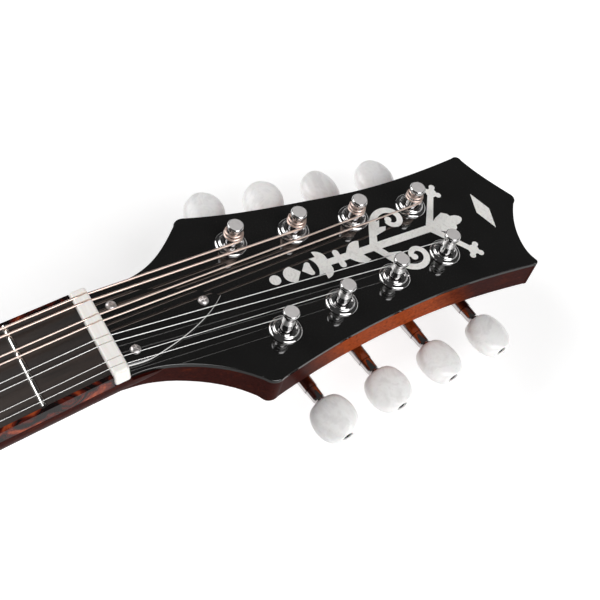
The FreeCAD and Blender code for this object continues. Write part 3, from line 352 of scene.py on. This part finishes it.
def mahogany(name, dark, light, grain=(14.0, 1.0, 14.0), painted_sheen_zone=None):
    """Satin open-pored wood. Painted sheen can make one zone along the neck light and the rest dark."""
    recipe = Recipe(name, roughness=0.45)
    recipe.set("Specular IOR Level", 0.02)
    vector = recipe.place(grain)
    figure = recipe.noise(vector, scale=9, detail=6, roughness=0.6, distortion=0.6)
    figure = recipe.spread(figure, low=0.40, high=0.60)
    streaks = recipe.noise(vector, scale=55, detail=5, roughness=0.65)
    streaks = recipe.spread(streaks, low=0.32, high=0.68)
    both = recipe.add(figure, streaks, share=0.45)
    depth = 0.0
    # Painted sheen: the figure is lifted in one zone along the neck, and outside it the colours sit darker.
    if painted_sheen_zone is not None:
        depth = PAINTED_SHEEN_DEPTH
        along = recipe.part(recipe.place(), 1)
        both = recipe.add(both, recipe.between(along, *painted_sheen_zone, PAINTED_SHEEN_FADE), share=PAINTED_SHEEN_LIFT)
    middle = tuple((low + high) / 2 for low, high in zip(dark, light))
    base = recipe.ramp(both, (0.48 + depth, dark), (0.64 + depth, middle), (min(0.84 + depth, 1.0), light))
    grit = recipe.noise(recipe.place((90, 60, 90)), scale=16, detail=3, roughness=0.7)
    speckle = recipe.ramp(grit, (0.36, (0.48, 0.40, 0.36)), (0.62, WHITE))
    base = recipe.mix(1.0, base, speckle, "MULTIPLY")
    fine_grain = tuple(value * 16 for value in grain)
    pores = recipe.noise(recipe.place(fine_grain), scale=14, detail=2)
    deep = recipe.ramp(pores, (0.0, shaded(dark, 0.5)), (1.0, shaded(dark, 0.4)))
    base = recipe.mix(recipe.mask(pores, start=0.60, end=0.68), base, deep)
    recipe.link(base, "Base Color")
    recipe.link(recipe.spread(both, low=0.34, high=0.5, from_low=0.4, from_high=1.0), "Roughness")
    recipe.bump(recipe.add(both, pores, share=-0.4), strength=0.14)
    return recipe.material


def spruce(name, coat=0.9, base_roughness=0.3):
    """Straight, fine-grained top wood, two matched halves."""
    recipe = Recipe(name, roughness=base_roughness, coat=coat, coat_roughness=0.08)
    vector = recipe.mirror_x(recipe.place((1, 0.035, 1)))
    wander = recipe.noise(vector, scale=18, detail=3)
    lines = recipe.bands(vector, scale=210, distortion=1.4, detail=2, detail_scale=0.8)
    fibres = recipe.noise(recipe.mirror_x(recipe.place((1, 0.02, 1))), scale=1500, detail=2)
    tone = recipe.add(recipe.add(lines, wander, share=0.7), fibres, share=0.5)
    colour = recipe.ramp(tone, (0.35, (0.66, 0.40, 0.17)), (0.8, (0.80, 0.55, 0.27)),
                         (1.0, (0.86, 0.64, 0.36)))
    recipe.link(colour, "Base Color")
    recipe.link(recipe.spread(fibres, low=base_roughness * 0.8, high=base_roughness * 1.3), "Roughness")
    recipe.bump(tone, strength=0.06, distance=0.0001)
    return recipe.material


def dark_wood(name, dark=(0.010, 0.007, 0.006), light=(0.035, 0.021, 0.015), roughness=0.38):
    """Oiled rosewood or ebony with short open pores."""
    recipe = Recipe(name, roughness)
    vector = recipe.place((18, 1.2, 18))
    figure = recipe.noise(vector, scale=11, detail=6, roughness=0.65, distortion=0.4)
    recipe.link(recipe.ramp(figure, (0.35, dark), (0.7, light)), "Base Color")
    pores = recipe.noise(recipe.place((420, 22, 420)), scale=10, detail=2)
    recipe.link(recipe.spread(pores, low=roughness * 0.8, high=roughness * 1.35), "Roughness")
    recipe.bump(pores, strength=0.25, distance=0.00015)
    return recipe.material


def bare_wood(name, colour):
    """Unfinished inside wood."""
    recipe = Recipe(name, roughness=0.75)
    figure = recipe.noise(recipe.place((12, 1.5, 12)), scale=14, detail=6, roughness=0.6)
    recipe.link(recipe.ramp(figure, (0.3, shaded(colour, 0.7)), (0.75, colour)), "Base Color")
    recipe.link(recipe.spread(figure, low=0.65, high=0.85), "Roughness")
    recipe.bump(figure, strength=0.2, distance=0.0003)
    return recipe.material


def tortoise(name):
    """Dark tortoise-pattern celluloid with warm red patches."""
    recipe = Recipe(name, roughness=0.22)
    recipe.set("Specular IOR Level", 0.15)
    vector = recipe.place()
    patches = recipe.noise(vector, scale=75, detail=3, roughness=0.6, distortion=1.6)
    flecks = recipe.noise(vector, scale=420, detail=2)
    tone = recipe.add(patches, flecks, share=0.12)
    colour = recipe.ramp(tone, (0.50, (0.006, 0.003, 0.003)), (0.62, (0.10, 0.012, 0.006)),
                         (0.74, (0.34, 0.06, 0.018)))
    recipe.link(colour, "Base Color")
    recipe.link(recipe.spread(flecks, low=0.12, high=0.26), "Roughness")
    return recipe.material


def pearl(name, shade, bright, scale, roughness=0.16, swirl=2.6):
    """Swirled pearl: folded layers that turn from grey to white."""
    recipe = Recipe(name, roughness, coat=0.3, coat_roughness=0.1)
    vector = recipe.place()
    folds = recipe.noise(vector, scale, detail=3, roughness=0.55, distortion=swirl)
    veins = recipe.noise(vector, scale=scale * 2.7, detail=3, roughness=0.6, distortion=swirl * 1.4)
    tone = recipe.add(folds, veins, share=0.6)
    recipe.link(recipe.ramp(tone, (0.58, shade), (0.82, bright), (1.0, shade)), "Base Color")
    recipe.link(recipe.spread(veins, low=roughness * 0.6, high=roughness * 1.6), "Roughness")
    recipe.set("Subsurface Weight", 0.06)
    recipe.set("Subsurface Scale", 0.002)
    recipe.bump(folds, strength=0.04)
    return recipe.material


def bone(name):
    """Polished bone with faint fibres."""
    recipe = Recipe(name, roughness=0.3, coat=0.3, coat_roughness=0.15)
    fibres = recipe.noise(recipe.place((1, 9, 9)), scale=130, detail=4)
    recipe.link(recipe.ramp(fibres, (0.3, (0.90, 0.86, 0.81)), (0.7, (0.97, 0.935, 0.895))), "Base Color")
    recipe.link(recipe.spread(fibres, low=0.24, high=0.4), "Roughness")
    recipe.set("Subsurface Weight", 0.1)
    recipe.set("Subsurface Scale", 0.002)
    recipe.bump(fibres, strength=0.08, distance=0.0001)
    return recipe.material


def metal(name, colour, roughness, wear=0.5, scale=120.0, metallic=1.0):
    """Plated metal with handling haze and fine polishing marks."""
    recipe = Recipe(name, roughness, metallic=metallic)
    haze = recipe.noise(recipe.place(), scale, detail=5, roughness=0.6)
    recipe.link(recipe.ramp(haze, (0.3, shaded(colour, 0.9)), (0.7, colour)), "Base Color")
    worn = recipe.spread(haze, low=roughness * (1 - wear * 0.5), high=roughness * (1 + wear))
    recipe.link(worn, "Roughness")
    marks = recipe.noise(recipe.place((1, 1, 9)), scale=900, detail=2)
    recipe.bump(marks, strength=0.02, distance=0.00005)
    return recipe.material


def wound_wire(name, wrap, groove_shade_and_tarnish, pitch):
    """Fine wire wrapped round a string; the mesh's U runs along it in metres."""
    recipe = Recipe(name, roughness=0.34, metallic=1.0)
    turns = recipe.bands(recipe.place(source="UV"), scale=0.5 / pitch, detail=0)
    tarnish = recipe.noise(recipe.place(), scale=160, detail=4)
    # Darker between the turns: painted shade in the grooves of the winding; the same darker colour also tints
    # the tarnish.
    turns_with_painted_shade = recipe.ramp(turns, (0.0, groove_shade_and_tarnish), (0.45, wrap))
    dull = recipe.ramp(tarnish, (0.0, groove_shade_and_tarnish), (1.0, wrap))
    recipe.link(recipe.mix(recipe.spread(tarnish, low=0.0, high=0.5), turns_with_painted_shade, dull), "Base Color")
    recipe.link(recipe.spread(tarnish, low=0.28, high=0.42), "Roughness")
    recipe.bump(turns, strength=0.12, distance=0.00005)
    return recipe.material


NECK_DARK = (0.040, 0.0055, 0.0035)
NECK_LIGHT = (0.37, 0.066, 0.013)
BODY_DARK = (0.085, 0.020, 0.009)
BODY_LIGHT = (0.28, 0.080, 0.032)

CHROME = metal("chrome_plate", (0.68, 0.67, 0.67), roughness=0.05, scale=160)
# A darker copy of the chrome: painted shade on the worm shafts and housings.
SHADED_SHAFT_CHROME = metal("shaft_chrome_painted_shade", (0.52, 0.49, 0.49), roughness=0.07, scale=160)
SATIN = metal("satin_chrome", (0.80, 0.77, 0.76), roughness=0.5, wear=0.2, scale=700, metallic=0.45)
NICKEL = metal("nickel_plate", (0.72, 0.70, 0.66), roughness=0.14)
FRET_WIRE = metal("fret_wire", (0.74, 0.73, 0.70), roughness=0.12)
PLAIN_STEEL = metal("plain_steel", (0.82, 0.81, 0.80), roughness=0.3)
# Near-black steel: painted shade for the button screws sunk in their recesses; the hidden truss rod uses it
# too.
STEEL = metal("steel_darkened_as_painted_shade", (0.035, 0.035, 0.035), roughness=0.3)
BRIGHT_STEEL = metal("bright_steel", (0.92, 0.88, 0.87), roughness=0.34)
# The second colour of each is painted shade in the grooves between turns and the tarnish's darker tone.
BRONZE_THICK = wound_wire("bronze_wrap_thick", (1.0, 0.82, 0.74), (0.72, 0.50, 0.41), pitch=0.00042)
BRONZE_THIN = wound_wire("bronze_wrap_thin", (1.0, 0.84, 0.77), (0.74, 0.53, 0.44), pitch=0.00032)
LACQUER = gloss_black("black_lacquer", roughness=0.07)
COVER_BLACK = black_with_painted_edge_highlight("cover_black", roughness=0.1)
NECK_WOOD = mahogany("neck_wood", NECK_DARK, NECK_LIGHT, painted_sheen_zone=PAINTED_SHEEN_ZONE)
BODY_WOOD = mahogany("body_wood", BODY_DARK, BODY_LIGHT)
RIM_WOOD = mahogany("rim_wood", BODY_DARK, BODY_LIGHT, grain=(1.0, 1.0, 16.0))
SPRUCE = spruce("top_spruce")
INNER_SPRUCE = spruce("brace_spruce", coat=0.0, base_roughness=0.7)
FINGERBOARD_WOOD = dark_wood("fingerboard_wood")
BRIDGE_WOOD = dark_wood("bridge_wood", (0.006, 0.005, 0.0045), (0.016, 0.012, 0.010), roughness=0.3)
ROSETTE_WOOD = dark_wood("rosette_wood", (0.05, 0.02, 0.01), (0.16, 0.07, 0.03), roughness=0.25)
LINING_WOOD = bare_wood("lining_wood", (0.62, 0.43, 0.25))
BLOCK_WOOD = bare_wood("block_wood", (0.42, 0.22, 0.11))
TORTOISE = tortoise("tortoise_binding")
INLAY_PEARL = pearl("inlay_pearl", (0.73, 0.71, 0.685), (0.90, 0.88, 0.85), scale=190)
BUTTON_PEARL = pearl("button_pearl", (0.87, 0.86, 0.85), (0.99, 0.985, 0.975), scale=36, roughness=0.3)
BONE = bone("bone_nut")


# ---- mesh helpers ------------------------------------------------------------------------------
def new_piece(name, mesh, material, body, sharp_angle=35):
    """Object of a finished mesh, smooth except at sharp corners, riding on a CAD body."""
    mesh.polygons.foreach_set("use_smooth", [True] * len(mesh.polygons))
    mesh.set_sharp_from_angle(angle=math.radians(sharp_angle))
    mesh.materials.clear()
    mesh.materials.append(material)
    piece = bpy.data.objects.new(name, mesh)
    bpy.context.scene.collection.objects.link(piece)
    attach(piece, body)
    return piece


def mesh_from(vertices, faces, name):
    """Mesh data of points in metres and their faces."""
    mesh = bpy.data.meshes.new(name)
    mesh.from_pydata([tuple(vertex) for vertex in vertices], [], faces)
    mesh.update()
    return mesh


def ring_faces(rings, sides):
    """Faces between rings of points that follow one another."""
    faces = []
    for ring in range(rings - 1):
        for side in range(sides):
            nearby = (side + 1) % sides
            faces.append((ring * sides + side, ring * sides + nearby,
                          (ring + 1) * sides + nearby, (ring + 1) * sides + side))
    return faces


def end_faces(rings, sides):
    """Faces that close the first ring and the last one."""
    return [tuple(range(sides - 1, -1, -1)), tuple(range((rings - 1) * sides, rings * sides))]


FILLET_LIMIT = 0.48  # share of an edge that one fillet may take


def rounded_profile(corners, steps=5):
    """Turn (radius, height, fillet) corners into a smooth profile."""
    points = []
    for index, (radius, height, fillet) in enumerate(corners):
        here = Vector((radius, height))
        if fillet == 0 or index in (0, len(corners) - 1):
            points.append(here)
            continue
        before = Vector(corners[index - 1][:2]) - here
        after = Vector(corners[index + 1][:2]) - here
        reach = min(fillet, before.length * FILLET_LIMIT, after.length * FILLET_LIMIT)
        start = here + before.normalized() * reach
        end = here + after.normalized() * reach
        for step in range(steps + 1):
            share = step / steps
            points.append(start.lerp(here, share).lerp(here.lerp(end, share), share))
    return points


def lathe(name, corners, matrix, material, body, segments=64):
    """Turned piece about the matrix's Z, from (radius, height, fillet) corners in millimetres."""
    profile = rounded_profile(corners)
    vertices = []
    for point in profile:
        for segment in range(segments):
            turn = 2 * math.pi * segment / segments
            local = Vector((point.x * math.cos(turn), point.x * math.sin(turn), point.y)) * MM
            vertices.append(matrix @ local)
    mesh = mesh_from(vertices, ring_faces(len(profile), segments), name)
    tidy_mesh(mesh)
    return new_piece(name, mesh, material, body)


def tidy_mesh(mesh):
    """Weld points that coincide and make the faces look outwards."""
    shape = bmesh.new()
    shape.from_mesh(mesh)
    bmesh.ops.remove_doubles(shape, verts=shape.verts, dist=1e-7)
    bmesh.ops.recalc_face_normals(shape, faces=shape.faces)
    shape.to_mesh(mesh)
    shape.free()


def sweep(name, points, radius, material, body, sides=12):
    """Round wire along points, with U along it in metres for its winding."""
    count = len(points)
    vertices = []
    lengths = [0.0]
    for start, end in zip(points, points[1:]):
        lengths.append(lengths[-1] + (end - start).length)
    tangents = []
    for index in range(count):
        ahead = points[min(index + 1, count - 1)]
        behind = points[max(index - 1, 0)]
        tangents.append((ahead - behind).normalized())
    normal = tangents[0].orthogonal().normalized()
    for index in range(count):
        tangent = tangents[index]
        normal = (normal - tangent * normal.dot(tangent)).normalized()
        other = tangent.cross(normal)
        for side in range(sides):
            turn = 2 * math.pi * side / sides
            vertices.append(points[index] + (normal * math.cos(turn) + other * math.sin(turn)) * radius)
    mesh = mesh_from(vertices, ring_faces(count, sides) + end_faces(count, sides), name)
    layer = mesh.uv_layers.new(name="along")
    for polygon in mesh.polygons:
        for loop in polygon.loop_indices:
            vertex = mesh.loops[loop].vertex_index
            layer.data[loop].uv = (lengths[vertex // sides], (vertex % sides) / sides)
    return new_piece(name, mesh, material, body)


def dress(node, material):
    """Give a CAD node its finished material."""
    obj = frame["nodes"][node]
    obj.data.materials.clear()
    obj.data.materials.append(material)


# ---- CAD nodes in their materials --------------------------------------------------------------
MATERIALS = {
    "soundboard": SPRUCE, "rosette": ROSETTE_WOOD, "back_plate": BODY_WOOD, "rims": RIM_WOOD,
    "top_binding": TORTOISE, "back_binding": TORTOISE, "linings": LINING_WOOD,
    "neck_block": BLOCK_WOOD, "tail_block": BLOCK_WOOD, "top_braces": INNER_SPRUCE,
    "back_braces": INNER_SPRUCE, "neck": NECK_WOOD, "heel_cap": TORTOISE, "truss_rod": STEEL,
    "fingerboard": FINGERBOARD_WOOD, "fingerboard_binding": TORTOISE, "frets": FRET_WIRE,
    "position_dots": INLAY_PEARL, "nut": BONE, "headstock_overlay": LACQUER,
    "headstock_inlay": INLAY_PEARL, "truss_rod_cover": COVER_BLACK, "cover_screws": NICKEL,
    "tuner_housings": SHADED_SHAFT_CHROME, "tuner_covers": CHROME, "tuner_ferrules": CHROME,
    "tuner_mounting_screws": NICKEL, "bridge": BRIDGE_WOOD, "saddle": BONE, "tailpiece": NICKEL,
    "tailpiece_screws": NICKEL, "strap_button": NICKEL, "strap_button_screw": NICKEL,
    "wound_strings": BRONZE_THICK, "plain_strings": PLAIN_STEEL,
}
for node_name, node_material in MATERIALS.items():
    dress(node_name, node_material)
for tuner in range(1, 9):
    dress("tuner_post_%d" % tuner, CHROME)
    dress("tuner_shaft_%d" % tuner, SHADED_SHAFT_CHROME)
    dress("tuner_button_%d" % tuner, BUTTON_PEARL)


# ---- strings -----------------------------------------------------------------------------------
def string_points(number):
    """Route of a string from its ball end to where it meets its post, and the post's matrix."""
    index = number - 1
    radius = STRING_RADIUS[index]
    post = tuner_frame(number)
    crest = Vector((STRING_AT_NUT[index] * MM, Y_NUT + NUT_CREST * MM, Z_TOP + STRING_AT_NUT_UP * MM))
    saddle = Vector((STRING_AT_BRIDGE[index] * MM, (SADDLE_LOW.y + SADDLE_HIGH.y) / 2,
                     Z_TOP + STRING_AT_BRIDGE_UP * MM))
    tail = Vector((STRING_AT_BRIDGE[index] * TAIL_SPREAD * MM, TAIL_HIGH.y - TAIL_BAR_THICK * MM,
                   Z_TOP + STRING_AT_TAIL_UP * MM))
    axis = HEAD.inverted() @ post.translation
    start = HEAD.inverted() @ crest
    run = Vector((axis.x - start.x, axis.y - start.y))
    reach = (POST_WAIST + COIL_SLACK[index] + radius) * MM
    side = -1 if number <= 4 else 1
    heading = math.atan2(run.y, run.x) + side * math.asin(reach / run.length)
    length = math.sqrt(run.length ** 2 - reach ** 2)
    touch = HEAD @ Vector((start.x + length * math.cos(heading), start.y + length * math.sin(heading),
                           COIL_LOW * MM))
    return [tail, saddle, crest, touch], post


def bent(points, steps=4):
    """Round off the small bends at saddle and nut."""
    smooth = [points[0]]
    for before, here, after in zip(points, points[1:], points[2:]):
        start = here + (before - here).normalized() * STRING_BEND * MM
        end = here + (after - here).normalized() * STRING_BEND * MM
        for step in range(steps + 1):
            share = step / steps
            smooth.append(start.lerp(here, share).lerp(here.lerp(end, share), share))
    smooth.append(points[-1])
    return smooth


def coil_points(number, touch, post):
    """Turns of string on a post, from the point where the string arrives, upwards."""
    radius = STRING_RADIUS[number - 1]
    slack = COIL_SLACK[number - 1]
    turns = COIL_TURNS[number - 1]
    local = post.inverted() @ touch
    start = math.atan2(local.y, local.x)
    # The string goes on round the post the way that it arrives.
    arrive = post.to_3x3().inverted() @ (HEAD.to_3x3() @ Vector((0, 1, 0)))
    tangent = Vector((-math.sin(start), math.cos(start), 0))
    direction = 1 if tangent.dot(arrive) > 0 else -1
    points = []
    for step in range(int(turns * COIL_STEPS_PER_TURN) + 1):
        # The wander starts from nothing and is full after half a turn.
        share = step / COIL_STEPS_PER_TURN
        turn = start + direction * 2 * math.pi * share
        wander = COIL_WANDER * radius * math.sin(turn * COIL_WANDER_RATE + number) * min(share * 2, 1)
        settle = min(share / turns, 1) ** COIL_SETTLE_POWER * slack * COIL_SETTLE
        reach = (POST_WAIST + slack - settle + radius + abs(wander)) * MM
        height = (COIL_LOW + COIL_PITCH[number - 1] * share + wander) * MM
        points.append(post @ Vector((reach * math.cos(turn), reach * math.sin(turn), height)))
    middle = post @ Vector((0, 0, (post.inverted() @ points[-1]).z))
    points.append(points[-1].lerp(middle, COIL_END_INWARD))
    return points


BALL_PROFILE = [(0.7, 0, 0), (1.5, 0, 0.3), (1.8, 0.5, 0.5), (1.8, 2.1, 0.5), (1.5, 2.6, 0.3), (0.7, 2.6, 0)]


def make_strings():
    """The eight strings with their ball ends and coils; the first four are wound."""
    for number in range(1, 9):
        wound = number <= 4
        radius = STRING_RADIUS[number - 1] * MM
        points, post = string_points(number)
        material = PLAIN_STEEL
        if wound:
            material = BRONZE_THICK if number <= 2 else BRONZE_THIN
        string = sweep("string_%d" % number, bent(points), radius, material, ROOT)
        coil = sweep("string_coil_%d" % number, coil_points(number, points[-1], post), radius, material,
                     "tuner_post_%d_body" % number)
        ball_matrix = Matrix.Rotation(math.pi / 2, 4, "X")
        ball_matrix.translation = points[0]
        ball = lathe("string_ball_%d" % number, BALL_PROFILE, ball_matrix, NICKEL, ROOT, segments=24)
    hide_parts("wound_strings")
    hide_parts("plain_strings")


# ---- tuners ------------------------------------------------------------------------------------
POST_PROFILE = [(0, -24.7, 0), (2.2, -24.7, 0.2), (2.2, -20.3, 0), (4.2, -20.1, 0.2), (4.2, -17.65, 0.2),
                (3.2, -17.6, 0), (3.2, 1.0, 0.3), (3.15, 1.6, 0.3), (2.8, 3.0, 0.8), (2.35, 5.0, 1.0),
                (2.15, 7.0, 1.0), (2.15, 9.2, 0.7), (2.5, 10.0, 0.4), (3.3, 10.5, 0.3), (3.5, 11.0, 0.3),
                (3.5, 12.1, 0.25), (3.1, 12.6, 0.15), (0, 12.6, 0)]
FERRULE_PROFILE = [(3.25, -9.4, 0), (4.55, -9.4, 0.2), (4.55, -0.1, 0), (6.9, 0.0, 0), (6.9, 0.5, 0.3),
                   (6.45, 0.92, 0.35), (5.3, 1.22, 0.25), (5.05, 1.75, 0.25), (4.75, 1.98, 0.2),
                   (4.45, 1.9, 0.2), (4.32, 1.4, 0.2), (4.28, 0.62, 0.1), (3.25, 0.6, 0)]
CAP_PROFILE = [(0, 12.62, 0), (3.0, 12.62, 0.1), (3.05, 12.4, 0), (0, 12.4, 0)]


def button_axes(number):
    """Frame of a button: Z out along the shaft, X across its broad face, read from its CAD node."""
    shaft = shaft_frame(number)
    back = shaft.inverted()
    mesh = frame["nodes"]["tuner_button_%d" % number].data
    sum_xx = sum_yy = sum_xy = 0.0
    for vertex in mesh.vertices:
        local = back @ vertex.co
        sum_xx += local.x ** 2
        sum_yy += local.y ** 2
        sum_xy += local.x * local.y
    angle = 0.5 * math.atan2(2 * sum_xy, sum_xx - sum_yy)
    return shaft @ Matrix.Rotation(angle, 4, "Z")


# Height along the button and half-width there; the last ones turn in to the screw's recess.
BUTTON_SECTIONS = [(0.0, 3.3), (0.02, 4.5), (0.35, 5.6), (1.1, 6.75), (2.8, 8.0), (5.5, 8.93), (9.0, 9.38),
                   (12.9, 8.7), (15.6, 7.25), (17.3, 5.45), (18.1, 4.1), (18.36, 3.2), (18.36, 2.7),
                   (18.1, 2.34), (17.4, 2.27), (16.7, 2.25)]


def smooth_sections(sections, steps=4):
    """Sections with a Catmull-Rom curve's points between them."""
    points = []
    count = len(sections)
    for index in range(count - 1):
        nearby = [Vector(sections[min(max(index + shift, 0), count - 1)]) for shift in (-1, 0, 1, 2)]
        for step in range(steps):
            t = step / steps
            points.append(0.5 * (2 * nearby[1] + (nearby[2] - nearby[0]) * t
                                 + (2 * nearby[0] - 5 * nearby[1] + 4 * nearby[2] - nearby[3]) * t ** 2
                                 + (3 * nearby[1] - nearby[0] - 3 * nearby[2] + nearby[3]) * t ** 3))
    points.append(Vector(sections[-1]))
    return points


def signed_power(value, power):
    """A power of a number's size, with the number's sign."""
    return math.copysign(abs(value) ** power, value)


def make_button(number):
    """Chunky oval pearl button with a screw recess in its end."""
    matrix = button_axes(number)
    start = BUTTON_CENTRE - BUTTON_LENGTH / 2
    power = 2 / BUTTON_SQUARENESS
    vertices = []
    sections = smooth_sections(BUTTON_SECTIONS)
    for along, wide in sections:
        thickness = BUTTON_THIN_SHARE + (1 - BUTTON_THIN_SHARE) * wide / BUTTON_HALF_WIDTH
        roundness = min(max((wide - RECESS_RADIUS) / RECESS_BLEND, 0), 1)
        deep = wide + (BUTTON_HALF_THICK * thickness - wide) * roundness
        bend = 1 + (power - 1) * roundness
        for side in range(BUTTON_SIDES):
            turn = 2 * math.pi * side / BUTTON_SIDES
            x = signed_power(math.cos(turn), bend) * wide
            y = signed_power(math.sin(turn), bend) * deep
            vertices.append(matrix @ (Vector((x, y, start + along)) * MM))
    rings = len(sections)
    faces = ring_faces(rings, BUTTON_SIDES) + end_faces(rings, BUTTON_SIDES)
    mesh = mesh_from(vertices, faces, "button_%d" % number)
    tidy_mesh(mesh)
    piece = new_piece("pearl_button_%d" % number, mesh, BUTTON_PEARL, "tuner_key_%d" % number, sharp_angle=50)
    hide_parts("tuner_button_%d" % number)
    return matrix


# A screw head's rings, as shares of its radius and height, and its cross as shares of the same.
SCREW_RINGS = [(0.16, 1.0), (0.42, 0.97), (0.68, 0.86), (0.88, 0.58), (1.0, 0.12), (1.0, 0.0)]
SCREW_SIDES = 32
CROSS_LENGTH = 1.25
CROSS_WIDTH = 0.26
CROSS_HEIGHT = 1.3
CROSS_CENTRE = 1.05


def cross_cutter(turn, radius, height):
    """Bar that cuts one arm of a screw's cross."""
    bar = bmesh.new()
    bmesh.ops.create_cube(bar, size=1.0)
    size = Vector((radius * CROSS_LENGTH, radius * CROSS_WIDTH, height * CROSS_HEIGHT)) * MM
    bmesh.ops.scale(bar, vec=size, verts=bar.verts)
    bmesh.ops.translate(bar, vec=Vector((0, 0, height * CROSS_CENTRE)) * MM, verts=bar.verts)
    bmesh.ops.rotate(bar, matrix=Matrix.Rotation(turn, 3, "Z"), verts=bar.verts)
    mesh = bpy.data.meshes.new("cutter")
    bar.to_mesh(mesh)
    bar.free()
    cutter = bpy.data.objects.new("cutter", mesh)
    bpy.context.scene.collection.objects.link(cutter)
    return cutter


def make_cross_screw(name, matrix, radius, height, material, body):
    """Domed screw head with a cross recess; radius and height are in millimetres."""
    vertices = []
    for ring_share, height_share in SCREW_RINGS:
        for side in range(SCREW_SIDES):
            turn = 2 * math.pi * side / SCREW_SIDES
            reach = ring_share * radius
            local = Vector((reach * math.cos(turn), reach * math.sin(turn), height_share * height))
            vertices.append(local * MM)
    rings = len(SCREW_RINGS)
    mesh = mesh_from(vertices, ring_faces(rings, SCREW_SIDES) + end_faces(rings, SCREW_SIDES), name)
    tidy_mesh(mesh)
    head = bpy.data.objects.new(name, mesh)
    bpy.context.scene.collection.objects.link(head)
    cutters = [cross_cutter(turn, radius, height) for turn in (0, math.pi / 2)]
    for cutter in cutters:
        cut = head.modifiers.new("cross", "BOOLEAN")
        cut.operation = "DIFFERENCE"
        cut.solver = "EXACT"
        cut.object = cutter
    graph = bpy.context.evaluated_depsgraph_get()
    cut_mesh = bpy.data.meshes.new_from_object(head.evaluated_get(graph))
    for extra in [head] + cutters:
        bpy.data.objects.remove(extra)
    cut_mesh.transform(matrix)
    piece = new_piece(name, cut_mesh, material, body, sharp_angle=30)
    return piece


def make_tuners():
    """Posts with their caps, bushings, buttons and button screws."""
    recess = Matrix.Translation(Vector((0, 0, BUTTON_CENTRE + BUTTON_LENGTH / 2 - BUTTON_SCREW_DEEP)) * MM)
    for number in range(1, 9):
        matrix = tuner_frame(number)
        post_body = "tuner_post_%d_body" % number
        post = lathe("string_post_%d" % number, POST_PROFILE, matrix, CHROME, post_body)
        cap = lathe("post_cap_%d" % number, CAP_PROFILE, matrix, SATIN, post_body)
        ferrule = lathe("ferrule_%d" % number, FERRULE_PROFILE, matrix, CHROME, ROOT)
        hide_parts("tuner_post_%d" % number)
        make_cross_screw("button_screw_%d" % number, make_button(number) @ recess, BUTTON_SCREW_RADIUS,
                         BUTTON_SCREW_HEIGHT, STEEL, "tuner_key_%d" % number)
    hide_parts("tuner_ferrules")


def make_cover_screws():
    """The three small screws that hold the truss rod's cover."""
    for number, (across, along) in enumerate(COVER_SCREWS, 1):
        place = HEAD @ Matrix.Translation(Vector((across, along, COVER_TOP)) * MM)
        place = place @ Matrix.Rotation(COVER_SCREW_TURN * number, 4, "Z")
        make_cross_screw("cover_screw_%d" % number, place, COVER_SCREW_RADIUS,
                                      COVER_SCREW_HEIGHT, BRIGHT_STEEL, ROOT)
    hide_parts("cover_screws")


make_strings()
make_tuners()
make_cover_screws()


# ---- stage -------------------------------------------------------------------------------------
# The camera is placed from the front middle of the nut's underside.
CAMERA_FROM_NUT = Vector((227.97, -53.97, 407.66)) * MM
CAMERA_RIGHT = Vector((0.4932, 0.8693, 0.0335))
CAMERA_BACK = Vector((0.4353, -0.2798, 0.8557))
CAMERA_LENS = 72.9


def make_camera():
    """Camera at the photograph's viewing angle."""
    data = bpy.data.cameras.new("camera")
    data.sensor_width = 36.0
    data.lens = CAMERA_LENS
    data.clip_start = 0.01
    data.clip_end = 50.0
    camera = bpy.data.objects.new("camera", data)
    back = CAMERA_BACK.normalized()
    right = (CAMERA_RIGHT - back * CAMERA_RIGHT.dot(back)).normalized()
    matrix = Matrix((right, back.cross(right), back)).transposed().to_4x4()
    matrix.translation = Vector((0, Y_NUT, Z_TOP)) + CAMERA_FROM_NUT
    camera.matrix_world = matrix
    bpy.context.scene.collection.objects.link(camera)
    bpy.context.scene.camera = camera


# The floor and the lights, in metres and watts.
FLOOR_HALF = 5.0
FLOOR_DROP = 0.0002
FLOOR_GLOW = 0.42
WORLD_GLOW = 0.05
LIGHT_TARGET = Vector((0, 0.1, 0.06))
LIGHT_SIZE = 1.7
KEY_PLACE = Vector((1.54, 0.80, 1.45))
KEY_POWER = 42
FILL_PLACE = Vector((-1.45, -0.75, 1.45))
FILL_POWER = 34


def make_floor():
    """Plain white floor that glows a little, as a photographer's white table does."""
    corners = [(-1, -1, 0), (1, -1, 0), (1, 1, 0), (-1, 1, 0)]
    mesh = mesh_from([Vector(corner) * FLOOR_HALF for corner in corners], [(0, 1, 2, 3)], "floor")
    recipe = Recipe("floor_paint", roughness=0.7)
    mottle = recipe.noise(recipe.place(), scale=2.0, detail=3)
    recipe.link(recipe.ramp(mottle, (0.3, (0.86, 0.86, 0.86)), (0.7, (0.88, 0.88, 0.88))), "Base Color")
    recipe.set("Emission Color", (*WHITE, 1))
    recipe.set("Emission Strength", FLOOR_GLOW)
    mesh.materials.append(recipe.material)
    floor = bpy.data.objects.new("floor", mesh)
    floor.location.z = -FLOOR_DROP
    bpy.context.scene.collection.objects.link(floor)


def make_light(name, place, power):
    """Square soft light that looks at the instrument."""
    data = bpy.data.lights.new(name, "AREA")
    data.size = LIGHT_SIZE
    data.energy = power
    light = bpy.data.objects.new(name, data)
    light.location = place
    light.rotation_euler = (LIGHT_TARGET - place).to_track_quat("-Z", "Y").to_euler()
    bpy.context.scene.collection.objects.link(light)


def make_world():
    """Faint even light from all round."""
    world = bpy.data.worlds.new("studio")
    world.use_nodes = True
    background = world.node_tree.nodes["Background"]
    background.inputs["Color"].default_value = (*WHITE, 1)
    background.inputs["Strength"].default_value = WORLD_GLOW
    bpy.context.scene.world = world


make_camera()
make_floor()
make_world()
make_light("key", KEY_PLACE, KEY_POWER)
make_light("fill", FILL_PLACE, FILL_POWER)
bpy.context.scene.view_settings.view_transform = "Standard"
